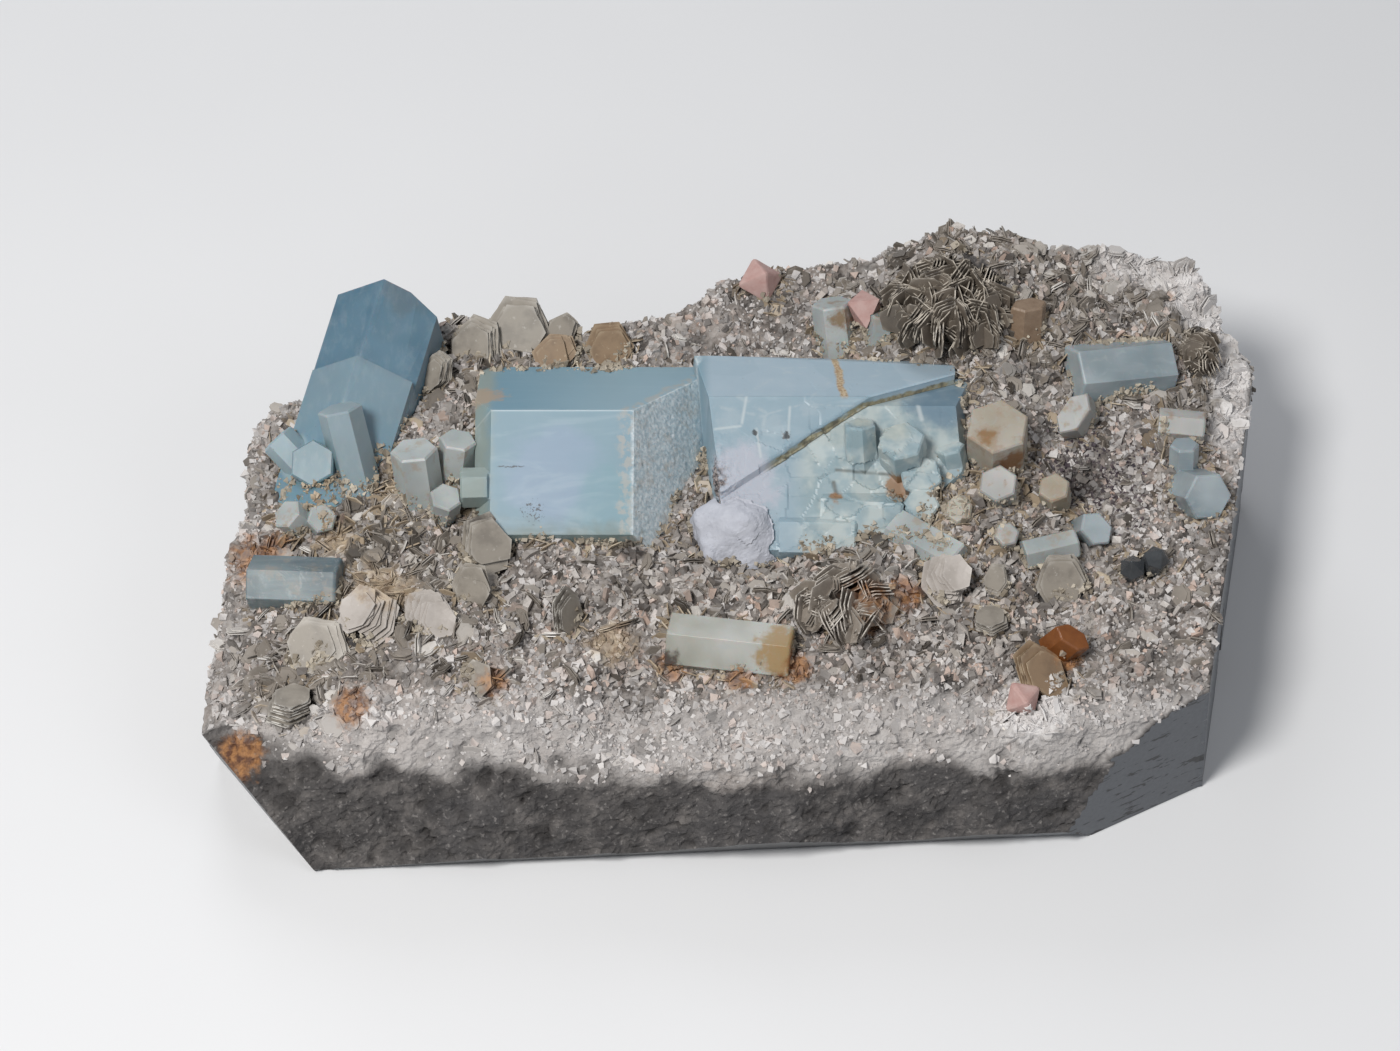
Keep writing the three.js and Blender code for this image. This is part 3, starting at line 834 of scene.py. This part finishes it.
def crystal_lift(place, normal):
    end = abs(height_over(ETCHED_END, place))
    etched = math.exp(-(end / 1.2) ** 2) if normal.x > 0.5 and place.x < 6 else 0
    groove = hill(place, (2, 8, 56), 8) + 0.5 * hill(place, (3, -4, 50), 8)
    broken = hill(place, (50, 3, 57), 20) + 0.7 * hill(place, (20, 8, 62), 9)
    broken += 0.4 * hill(place, (38, 14, 66), 8)
    pits = 0.12 * rough(place, 1.4, 2) - 0.6 * max(0, noise.noise(place / 1.8) - 0.4)
    steps = 1.5 * chips(place, 8) * min(1, broken)
    crack = -0.5 * math.exp(-(height_over(CRACK, place) / 0.5) ** 2) if place.x > 18 else 0
    return etched * pits + groove * 1.3 * rough(place, 1.8) + steps + crack


def sink_side_crystal(shape):
    """The small side crystal passes into the large one, and only its trace shows on the front face."""
    for v in shape.verts:
        x, y, _ = place = v.co / MM
        over = height_over(FRONT_FACE, place)
        if -63.5 < x < -45 and -8 < y < 20 and over > 0:
            v.co -= Vector(FRONT_FACE[1]) * (over * MM)


def build_lying_crystal(paint):
    """The crystal down to a little under the rock's surface."""
    shape = merged("aquamarine_main")
    bmesh.ops.bisect_plane(
        shape, geom=shape.verts[:] + shape.edges[:] + shape.faces[:],
        plane_co=(0, 0, CRYSTAL_BOTTOM * MM), plane_no=(0, 0, 1), clear_inner=True)
    bmesh.ops.triangle_fill(shape, edges=open_edges(shape), use_beauty=True)
    bmesh.ops.recalc_face_normals(shape, faces=shape.faces)
    shape = netted(shape, CRYSTAL_NET, crisp=True)
    sink_side_crystal(shape)
    sculpt(shape, crystal_lift)
    piece = finished("aquamarine_lying", mesh_of(shape, "aquamarine_lying"), "aquamarine", paint)
    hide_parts("aquamarine_main")


def powder_lift(place, normal):
    lumps = 0.8 * rough(place, 9, 2) + 0.7 * chips(place, 9) + 0.25 * chips(place, 3)
    return lumps + 0.2 * rough(place, 1.7) - 0.7


def build_powder(paint):
    shape = netted(merged("albite_fan"), POWDER_NET)
    every_way = {"use_axis_x": True, "use_axis_y": True, "use_axis_z": True}
    for _ in range(POWDER_SMOOTHINGS):
        bmesh.ops.smooth_vert(shape, verts=shape.verts, factor=0.5, **every_way)
    sculpt(shape, powder_lift)
    piece = finished("albite_powder", mesh_of(shape, "albite_powder"), "albite", paint)
    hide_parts("albite_fan")


# Finishes. The lists hold places with a radius.

WHITE_FELDSPAR = [
    (148, 84, 67, 12), (163, 58, 60, 13), (166, 30, 54, 11), (96, -70, 48, 12),
    (157, 72, 65, 12), (168, 44, 57, 11), (167, 12, 52, 8), (132, 88, 72, 10),
]
RUST = [
    (-134, -14, 50, 12), (-133, -74, 27, 8), (-101, -70, 46, 7), (48, -40, 54, 9),
    (27, -57, 46, 6), (-8, -54, 47, 7), (106, -53, 48, 6), (-60, -62, 46, 5),
    (12, -60, 45, 5), (60, -34, 52, 6),
]
CREAM_CRUST = [
    (-93, 9, 60, 9), (-117, 5, 58, 8), (-110, -12, 56, 8), (-93, -29, 54, 12),
    (-25, -46, 48, 9),
]
# Dark spots: partly dark dirt, partly painted shade in hollows such as the groove by the large crystal and
# under its front edge
DIRT_AND_SHADE = [
    (-11, -51, 47, 3), (2, 5, 56, 6), (41, -38, 52, 8), (117, 12, 53, 7),
    (-66, -6, 52, 6), (-20, -13, 49, 5),
]
STAINS = [
    (CREAM_CRUST, (150, 128, 104), (196, 178, 152)),
    (RUST, (98, 58, 34), (180, 128, 78)),
    (DIRT_AND_SHADE, (38, 34, 34), (70, 62, 58)),
]


def stain(p, share=0.8):
    """Rust, cream crust and dark spots at their places on the rock and what stands on it. The dark spots
    are partly dark dirt and partly painted shade in hollows and under the large crystal.
    """
    worn = p.cloud(2.6, 3)
    front_rim = p.band(p.axis("Y") + (worn - 0.5) * 14, -88, -66, 5)
    left_rim = p.fade(p.axis("X") + (worn - 0.5) * 10, -128, -138)
    white = (front_rim * 0.4 + left_rim * 0.1).clamped()
    for *at, radius in WHITE_FELDSPAR:
        white = white + p.spot(at, radius, 0.5) * 0.7
    p.lay(white.clamped() * p.own("natural"), (218, 215, 214))
    for places, dark, light in STAINS:
        first, *others = [p.spot(at, radius, 0.5) for *at, radius in places]
        p.lay(sum(others, first) * share, p.mix(p.fade(worn, 0.35, 0.65), dark, light))


def rock_paint():
    p = Paint("rock")
    wide, mid, fine = p.cloud(30, 3), p.cloud(7, 4), p.cloud(1.5, 3)
    p.colour = p.ramp(mid, (0.3, (84, 78, 74)), (0.5, (132, 125, 120)), (0.7, (174, 169, 165)))
    p.lay(p.fade(wide, 0.45, 0.65) * 0.4, (168, 154, 145))
    p.lay((fine - 0.45) * 1.2, (204, 200, 197))
    # Broken and steep faces get a dark grey: partly the fresh stone's own grey, partly painted shade on
    # faces that turn away from the light
    grey = p.ramp(mid, (0.3, (40, 39, 41)), (0.52, (68, 66, 66)), (0.75, (106, 101, 98)))
    grey = p.mix(p.fade(wide, 0.5, 0.6) * 0.5, grey, (52, 54, 58))
    grey = p.mix(p.fade(fine, 0.58, 0.7) * 0.4, grey, (162, 157, 154))
    p.lay((1 - p.own("natural")) * 0.9, grey)
    # Painted shade: the low hollows of the sculpted surface are painted darker
    p.lay(p.fade(p.own("height"), 0.1, -1.3) * 0.8, (44, 41, 40))
    dark = p.spot((122, 12, 52), 18, 0.9, 4) * p.fade(p.cloud(2.2, 2), 0.5, 0.62)
    p.lay(dark.clamped() * 0.8, (70, 62, 68))
    normal = p.bump(p.cells(1.3) + fine * 1.5, 0.6, 0.8)
    stain(p)
    return p.finish(0.78, normal)


def sawn_paint():
    p = Paint("sawn rock")
    fine = p.cloud(1.2, 4)
    dashes = p.fade(p.cloud(5, 3, 0.7, p.stretched((0.5, 0.5, 2.2))), 0.58, 0.63)
    p.colour = p.mix(fine, (70, 74, 80), (96, 100, 106))
    p.lay(dashes, (30, 31, 35))
    # Painted shade: the undercut strip under the front, which faces down, is painted near black
    undercut_shade = p.fade(p.axis("Y"), -78, -84) * p.fade(p.axis("Z"), 20, 14)
    undercut_shade = undercut_shade * p.fade(p.axis("X"), 96, 90)
    p.lay(undercut_shade * 0.85, (22, 23, 26))
    return p.finish(0.38, p.bump(fine, 0.1, 0.4))


def grain_paint(name, dark, light, warm, roughness=0.55):
    p = Paint(name)
    p.colour = p.ramp(p.own("shade"), (0.0, dark), (0.4, light), (0.75, light), (0.95, warm))
    p.lay(p.fade(p.cloud(14, 3), 0.42, 0.62) * 0.4, dark)
    fleck = p.cloud(0.8, 2)
    p.lay((fleck - 0.35) * 0.5, dark)
    stain(p, 0.65)
    return p.finish(roughness, p.bump(fleck, 0.2, 0.5))


def mica_paint(name, edge, face, light, own_shade=False):
    p = Paint(name)
    cloudy = p.cloud(6, 3)
    if own_shade:
        p.colour = p.ramp(p.own("shade"), (0.0, edge), (0.35, face), (0.7, face), (1.0, light))
        p.lay((cloudy - 0.4) * 0.8, edge)
    else:
        p.colour = p.mix(p.fade(cloudy, 0.6, 0.3) * 0.35, face, edge)
        streaks = p.fade(p.cloud(3, 3), 0.34, 0.6)
        p.lay(p.fade(p.own("reach"), 0.8, 1.0) * 0.3, light)
        p.lay(p.own("rim"), p.mix(streaks, edge, light))
    specks = p.fade(p.cloud(1.6, 4), 0.62, 0.7)
    p.lay(specks * 0.35, light)
    lines = p.cloud(0.5, 2, 0.5)
    stain(p, 0.7)
    return p.finish(0.38 + cloudy * 0.25, p.bump(lines, 0.06, 0.35), Coat_Weight=0.15, Coat_Roughness=0.3)


PALE_LINES = [
    ((15.4, 49.7, 66.8), (14.5, 29.7, 74.5), 0.5),
    ((14.5, 29.7, 74.5), (12.6, 19.5, 69), 0.4),
    ((27.1, 24.5, 71.6), (26.5, 15.1, 66.6), 0.35),
    ((16.9, 18.4, 68.4), (18.3, 10.2, 64), 0.4),
    ((4.2, 18.1, 68.2), (12.6, 19, 68.7), 0.35),
    ((65.3, 27.7, 71.8), (67, 21.5, 68.2), 0.6),
]
DARK_LINES = [
    ((40.6, 8.3, 60.7), (59.8, 7, 59.9), 0.5),
    ((40, 5.4, 59), (41.7, -0.8, 55.5), 0.6),
    ((59.6, -5.8, 52.6), (66.6, -2.4, 54.6), 0.5),
    ((66.6, -2.4, 54.6), (73.5, -0.8, 55.5), 0.5),
]
# The two upper faces of the body below the crack
LOWER_FACES = (((0, -13, 48.5), (0, -0.496, 0.869)), ((0, 25.5, 70.5), (0, 0.316, 0.949)))


def lying_paint():
    p = Paint("lying aquamarine")
    x, y, z = map(p.axis, "XYZ")
    mid = p.cloud(6, 4)
    silk = p.cloud(3, 4, 0.6, p.stretched((0.1, 1, 1)))
    p.colour = p.mix(p.cloud(24, 2), (116, 147, 162), (130, 158, 173))
    p.lay(p.spot((-44, 6, 61), 16, 0.4, 9) * 0.6, (138, 157, 182))
    teal = p.spot((-27, -3, 56), 13, 0.4, 8) + p.spot((-32, 6, 62), 8, 0.6, 8) * 0.3
    p.lay(teal * 0.45, (112, 152, 163))
    left_body = p.fade(x, 3, -4)
    # Painted shade: the upper face of the left body, which turns away from the light, is painted a deeper
    # blue, and the pale veils below leave it out
    upper = p.fade(y, 21.4, 21.9) * left_body
    slate = p.mix(p.fade(x, -62, -20), (112, 152, 172), (142, 172, 186))
    p.lay(upper * 0.9, slate)
    # Painted highlight: a pale line along the ridge of the left body
    ridge_highlight = p.band(y, 21.2, 21.7, 0.2) * p.fade(x, -18, -22)
    p.lay(ridge_highlight * 0.6, (192, 206, 212))
    left = p.fade(x + (mid - 0.5) * 5, -60.5, -65.5)
    p.lay(left * 0.55, (158, 160, 140))
    p.lay(p.spot((-66, 32, 67), 7, 0.8) * 0.7, (176, 150, 124))
    low = p.fade(y + z + (mid - 0.5) * 14, 51, 38)
    p.lay(low * p.fade(x, -2, -10) * 0.7, (112, 116, 100))
    right = p.fade(x, 0, 4)
    p.lay(right * 0.85, p.mix(mid, (136, 160, 173), (162, 179, 190)))
    # Painted light: the upper face of the right body is painted lighter
    p.lay(p.fade(y, 27, 28) * right * 0.45, (186, 204, 218))
    slabs = p.cells(15, "Color", place=p.stretched((0.6, 1, 1)))
    p.lay(right * (slabs - 0.2) * 0.35, (126, 156, 172))
    edges = p.cells(24, feature="DISTANCE_TO_EDGE", place=p.stretched((0.5, 1, 1)))
    p.lay(p.fade(edges, 0.02, 0.0) * right * p.fade(mid, 0.45, 0.6) * 0.3, (190, 198, 200))
    below = p.fade(p.beyond(CRACK), -0.4, 0.4) * p.fade(x, 26, 34)
    cloudy = p.fade(p.cloud(9, 3), 0.4, 0.6)
    p.lay(below * 0.75, p.mix(cloudy, (140, 160, 165), (184, 192, 188)))
    p.lay(p.spot((73, 30, 71), 13, 0.3, 5) * below * 0.8, (96, 124, 144))
    end = p.band(p.beyond(ETCHED_END) + (p.cloud(3, 4) - 0.5) * 2.4, -0.5, 2.6, 0.5)
    end = end * p.fade(x, 2, -2)
    grainy = p.cloud(1.1, 3)
    p.lay(end * 0.95, p.mix(p.fade(grainy, 0.35, 0.65), (172, 188, 196), (210, 219, 223)))
    ragged = p.fade(p.cloud(2.4, 4), 0.42, 0.58)
    edge = p.band(p.beyond(ETCHED_END) + (mid - 0.5) * 6, -3.4, -0.3, 0.8) * left_body * ragged
    p.lay(edge * 0.5, (182, 170, 156))
    powder = p.spot((12, 3, 61), 13, 0.5, 5) * p.fade(x, 1, 4)
    p.lay(powder * 0.85, (184, 187, 198))
    white = p.spot((9, 20, 70), 4, 0.9) + p.spot((22, 19, 69), 4, 0.9) + p.spot((33, 24, 71), 3, 0.9)
    p.lay(white * 0.16, (196, 203, 206))
    for line in PALE_LINES:
        p.lay(p.line(*line) * 0.6, (198, 206, 208))
    for line in DARK_LINES:
        p.lay(p.line(*line) * 0.8, (66, 66, 56))
    # Pale veils, left off the upper face that carries the painted shade
    veils = p.fade(p.cloud(9, 3, 0.6, p.stretched((0.35, 1, 1)), 1), 0.5, 0.7)
    p.lay(veils * (1 - upper) * 0.22, (180, 196, 204))
    vein = p.band(x + (y - 40) * 0.08 + (mid - 0.5) * 3, 41.4, 43.4, 0.4)
    vein = vein * p.fade(y, 26, 28) * p.fade(z, 60, 62)
    flecks = p.fade(p.cloud(0.8, 3), 0.4, 0.6)
    p.lay(vein * 0.9, p.mix(flecks, (160, 126, 84), (196, 176, 142)))
    crack = p.band(p.beyond(CRACK) + (mid - 0.5) * 0.6, -0.9, 0.3, 0.2) * p.fade(x, 18, 24)
    dirt = p.ramp(p.cloud(3, 4), (0.36, (150, 158, 152)), (0.5, (148, 140, 108)), (0.62, (104, 98, 76)))
    front, top = map(p.beyond, LOWER_FACES)
    above = front.math("MAXIMUM", top) + (p.cloud(4, 4) - 0.5) * 3
    crack = crack * p.fade(above, 1.3, 0.5)
    p.lay(crack * 0.9, dirt)
    seam = p.band(p.beyond(CRACK) + (mid - 0.5) * 0.6, 0.1, 0.45, 0.15) * p.fade(x, 18, 24)
    p.lay(seam * 0.8, (52, 54, 46))
    # The groove: speckled grit, partly its own colour and partly painted shade that darkens its bottom
    groove = p.spot((2.5, 7, 57), 7, 0.6, 2) + p.spot((3, -3, 51), 6, 0.6, 2)
    gravel_and_shade = p.ramp(p.cloud(0.9, 2), (0.42, (58, 52, 54)), (0.62, (160, 150, 147)))
    p.lay(groove, gravel_and_shade)
    rust = p.spot((61.7, 13, 63.5), 4.6, 0.7, 2) + p.spot((60, 4, 58), 5, 0.7, 2)
    rust = rust + p.spot((40.5, 0.3, 56), 2.6, 0.8, 2)
    p.lay(rust * 0.85, (146, 104, 58))
    cream = p.spot((58, 14, 69), 6, 0.4, 5) + p.spot((49, 17, 69), 4, 0.5, 4)
    p.lay(cream * 0.5, (182, 184, 172))
    hair = p.band(y + (p.cloud(2, 3) - 0.5) * 1.2, 7, 7.3, 0.15)
    hair = hair * p.band(x, -60.5, -53, 0.8) * p.fade(p.cloud(0.9, 2), 0.36, 0.5)
    smudge = p.spot((-50, -4, 56), 3.4, 0.9, 1) * p.fade(p.cloud(0.7, 2), 0.55, 0.6)
    dots = p.fade(p.cells(3.4), 0.09, 0.05) * (end + right * 0.25) * p.fade(p.cloud(8), 0.5, 0.56)
    black = hair + smudge + dots + p.spot((26, 16.5, 67), 1.4, 0.9, 1) + p.spot((16.5, 17, 68), 1.0, 0.9, 1)
    p.lay(black.clamped() * 0.85, (38, 36, 38))
    p.lay((silk - 0.5) * 0.16, (206, 218, 224))
    dusty = (end + powder + groove + crack).clamped()
    normal = p.bump(silk, 0.06, 0.3, p.bump(grainy, 0.25, dusty * 0.35 + 0.02))
    return p.finish(0.42 + dusty * 0.4, normal, IOR=1.57, Subsurface_Weight=0.35,
                    Subsurface_Radius=(0.6, 0.9, 1.0), Subsurface_Scale=3 * MM)


def crystal_paint(name, deep, pale, stains=(), parts=(), clear=0.3, milk=0.35, inside=(150, 200, 220),
                  along=(1, 1, 0.15), earth=0.0, gloss=0.24):
    """A beryl: deep to pale in clouds, with fine lines along it, veils, stains and specks."""
    p = Paint(name)
    mid = p.cloud(4, 4)
    silk = p.cloud(2.2, 4, 0.6, p.stretched(along))
    p.colour = p.mix(p.fade(p.cloud(20, 2), 0.3, 0.7), deep, pale)
    for mask, share, over in parts:
        p.lay(mask(p) * share, over)
    veil = p.fade(p.cloud(7, 4, 0.7, bend=1.5), 0.52, 0.7)
    p.lay(veil * milk, (190, 198, 200))
    p.lay((silk - 0.5) * 0.5, (226, 232, 234))
    earthy = p.fade(p.cloud(6, 5, 0.65), 0.5, 0.64)
    p.lay(earthy * earth, (182, 160, 136))
    for at, radius, shade in stains:
        p.lay(p.spot(at, radius, 0.7) * 0.85, shade)
    specks = p.fade(p.cells(2.9), 0.07, 0.04) * p.fade(p.cloud(6), 0.54, 0.6)
    p.lay(specks * 0.6, (70, 62, 56))
    normal = p.bump(silk, 0.1, 0.3)
    return p.finish((earthy * earth + mid * 0.5) * 0.3 + gloss, normal, absorb=(tint(inside), 5),
                    IOR=1.57, Transmission_Weight=clear, Subsurface_Weight=0.25, Subsurface_Scale=3 * MM)


def plain_stone(name, deep, pale, roughness, **constants):
    p = Paint(name)
    p.colour = p.mix(p.cloud(3, 4), deep, pale)
    return p.finish(roughness, p.bump(p.cloud(1.5, 3), 0.3, 0.5), **constants)


SHARP_EDGE = math.radians(25)


def wear(paint, *nodes, width=0.35):
    """CAD nodes keep their shape, with worn edges, and get their finish."""
    for node in nodes:
        thing = NODES[node]
        thing.data.materials.clear()
        thing.data.materials.append(paint)
        thing.modifiers.new("weld", "WELD").merge_threshold = JOINED * MM
        bevel = thing.modifiers.new("bevel", "BEVEL")
        bevel.width = width * MM
        bevel.segments = 2
        bevel.limit_method = "ANGLE"
        bevel.angle_limit = SHARP_EDGE


# Assembly

set_camera()
set_studio()
lay_floor()

rock = build_rock()
weigh(rock)
rock_mesh = mesh_of(rock, "rock")
rock_piece = finished("rock", rock_mesh, "matrix", rock_paint(), sawn_paint())
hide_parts("matrix")
feet = crystal_feet(tree_of(rock_mesh))

SUGAR = grain_paint("sugary albite", (100, 94, 90), (212, 208, 206), (206, 186, 175))
BLOCKY = grain_paint("feldspar plates", (88, 82, 78), (196, 190, 185), (196, 172, 158), 0.4)
DARK = grain_paint("dark grains", (46, 40, 48), (92, 82, 88), (126, 112, 114), 0.4)
CRUST = grain_paint("crust", (74, 66, 60), (150, 139, 126), (196, 180, 156))
FOOT = grain_paint("foot grains", (128, 118, 104), (184, 175, 160), (208, 198, 180))
FLAKE = mica_paint("mica flakes", (72, 66, 60), (146, 138, 129), (222, 218, 213), True)
BLADES = mica_paint("cream blades", (118, 104, 88), (168, 152, 130), (206, 194, 174), True)
GRAINS = [
    ("albite_sugar", splinter, rock_mesh, "sugar", 80, (0.8, 2.8), 11, "albite", SUGAR),
    ("feldspar_plates", platelet, rock_mesh, "blocks", 36, (1.6, 4.8), 31, "albite", BLOCKY),
    ("dark_grains", splinter, rock_mesh, "dark", 120, (0.6, 1.6), 51, "matrix", DARK),
    ("crust_grains", splinter, rock_mesh, "crust", 60, (0.7, 2.4), 61, "albite", CRUST),
    ("foot_grains", splinter, feet, "foot", 150, (0.6, 2.4), 121, "albite", FOOT),
]
for name, make, ground, weight, per_cm2, sizes, seed, slot, paint in GRAINS:
    finished(name, scatter_blocks(name, make, ground, weight, per_cm2, sizes, seed), slot, paint)
FLAKES = [
    ("foot_blades", six_sided_flake, "crust", 14, (2.5, 6.5), 131, 1.3, BLADES),
    ("mica_flakes", six_sided_flake, "flakes", 40, (2, 5.5), 71, 1.2, FLAKE),
    ("mica_packets", mica_packet, "flakes", 10, (3.5, 8.5), 91, 1.0, FLAKE),
]
for name, make, weight, per_cm2, sizes, seed, upright, paint in FLAKES:
    flakes = scatter_flakes(name, make, rock_mesh, weight, per_cm2, sizes, seed, upright)
    finished(name, flakes, "mica", paint)

SILVER = mica_paint("silver mica", (78, 72, 66), (150, 143, 133), (210, 206, 199))
BROWN = mica_paint("brown mica", (78, 60, 46), (140, 117, 92), (196, 178, 152))
ROSE = mica_paint("rosette mica", (56, 49, 43), (110, 101, 91), (190, 181, 168))
SHELLS = mica_paint("nest mica", (82, 73, 65), (144, 135, 125), (200, 193, 184))
WHITE = mica_paint("white mica", (134, 126, 118), (182, 175, 169), (208, 203, 198))
BOOKS = (
    "mica_back_large", "mica_back_left", "mica_back_right", "mica_grey", "mica_tabular", "mica_leaning",
    "mica_hexagon", "mica_stack", "mica_blade", "mica_front_left", "mica_small", "mica_leaves", "mica_fan",
)
for name in BOOKS:
    book(name, SILVER)
for name in ("mica_brown_left", "mica_brown_right", "mica_curved"):
    book(name, BROWN, 7)
for name in ("mica_shell_left", "mica_shell_right", "mica_white"):
    book(name, WHITE, 11, fray=0.1, curl=0.22, taper=0.3, fan=0.5, twist=0.3)
sheaf("mica_rosette", ROSE, 150, 7.2, 0.85, 5)
sheaf("mica_nest", SHELLS, 60, 7.5, 0.6, 6, 0.4, 0.6)
sheaf("mica_spray", ROSE, 40, 5, 0.8, 7)

build_lying_crystal(lying_paint())
build_powder(plain_stone("white albite", (168, 171, 182), (198, 201, 210), 0.85))

TIP_FACING = (0.229, 0.968, 0.1)
RIDGE = ((-95.3, 69, 63.7), (0.93, -0.31, 0.12))
UPRIGHT_PARTS = [
    (lambda p: p.fade(p.beyond(RIDGE), -0.4, 0.4), 0.3, (132, 164, 182)),
    (lambda p: 1 - p.fade(p.beyond(((-102, 44, 57.5), TIP_FACING)), -0.4, 0.4), 0.6, (158, 182, 193)),
    (lambda p: 1 - p.fade(p.beyond(((-105, 28, 55), TIP_FACING)), -9, 9), 0.4, (124, 176, 200)),
    (lambda p: p.spot((-91, 66, 79), 8, 0.5, 5), 0.4, (120, 130, 134)),
    (lambda p: p.rod((-103, 10, 48), (-108.7, 23.6, 71.7), 7.6), 0.75, (176, 192, 198)),
    (lambda p: p.rod((-114, 23, 40), (-117, 12, 60), 8.2) * p.fade(p.axis("Y"), 22, 18), 0.7,
     (116, 146, 156)),
    (lambda p: p.rod((-117, 16, 48), (-129, 25, 57), 6.4) * p.fade(p.axis("X"), -117, -121), 0.8,
     (178, 200, 208)),
]
BLUE = crystal_paint("upright aquamarine", (88, 126, 150), (108, 144, 165), parts=UPRIGHT_PARTS, milk=0.12,
    along=(0.9, 0.3, 0.5))
wear(BLUE, "aquamarine_upright")
PALE_BLUE = crystal_paint("pale aquamarine", (140, 156, 164), (182, 194, 199), milk=0.4, clear=0.2,
    along=(0.12, 1, 1))
wear(PALE_BLUE, "aquamarine_right", "aquamarine_right_edge", "beryl_blue_small")
GREY_BLUE = crystal_paint("grey aquamarine", (86, 104, 112), (134, 149, 154), milk=0.4, clear=0.2,
    along=(0.1, 1, 1), earth=0.3)
wear(GREY_BLUE, "aquamarine_low_left")
PALE = crystal_paint("pale beryl", (176, 186, 187), (208, 214, 213), milk=0.5, earth=0.5, gloss=0.36,
    inside=(200, 215, 205), stains=[((43, 66, 68), 5, (152, 118, 74)), ((-84, 9, 52), 5, (160, 146, 112))])
wear(PALE, "beryl_left_pair", "beryl_between", "beryl_back_left", "beryl_back_right", "beryl_green",
    "beryl_tabular")
MILKY = crystal_paint("milky beryl", (184, 186, 184), (216, 215, 212), milk=0.6, earth=0.7, gloss=0.42,
    inside=(222, 220, 212), stains=[((93, 11, 64), 6, (160, 118, 76))])
wear(MILKY, "beryl_right_pale", "beryl_right_small", "beryl_milky", "beryl_hexagon")
CREAM = crystal_paint("cream beryl", (182, 170, 150), (208, 203, 192), milk=0.5, earth=0.7, gloss=0.38,
    inside=(220, 205, 175), stains=[((93, 11, 64), 6, (150, 100, 52)), ((86, 12, 70), 4, (160, 118, 70))])
wear(CREAM, "beryl_yellow", "beryl_peach_left", "beryl_peach_right")
FRONT = crystal_paint("front beryl", (172, 172, 160), (212, 214, 209), inside=(220, 215, 180), stains=[
    ((25, -54, 50), 9, (182, 150, 98)), ((29, -56, 47), 6, (150, 88, 40)), ((12, -60, 43), 5, (96, 54, 32)),
    ((22, -62, 43), 5, (120, 66, 34)), ((-9, -52, 45), 5, (64, 42, 34))])
wear(FRONT, "beryl_front")
PINK = plain_stone("pink fluorite", (180, 126, 118), (220, 196, 190), 0.6, Transmission_Weight=0.15)
wear(PINK, "fluorite_back_left", "fluorite_back_right", "fluorite_front", width=0.8)
SMOKY = plain_stone("smoky quartz", (60, 64, 68), (96, 100, 104), 0.2, Transmission_Weight=0.3)
wear(SMOKY, "quartz_smoky")
BROWN_SPAR = plain_stone("brown feldspar", (112, 90, 72), (158, 138, 118), 0.45)
wear(BROWN_SPAR, "feldspar_back")
RUSTY_SPAR = plain_stone("rusty feldspar", (112, 62, 30), (160, 100, 52), 0.35, Transmission_Weight=0.2)
wear(RUSTY_SPAR, "feldspar_orange")
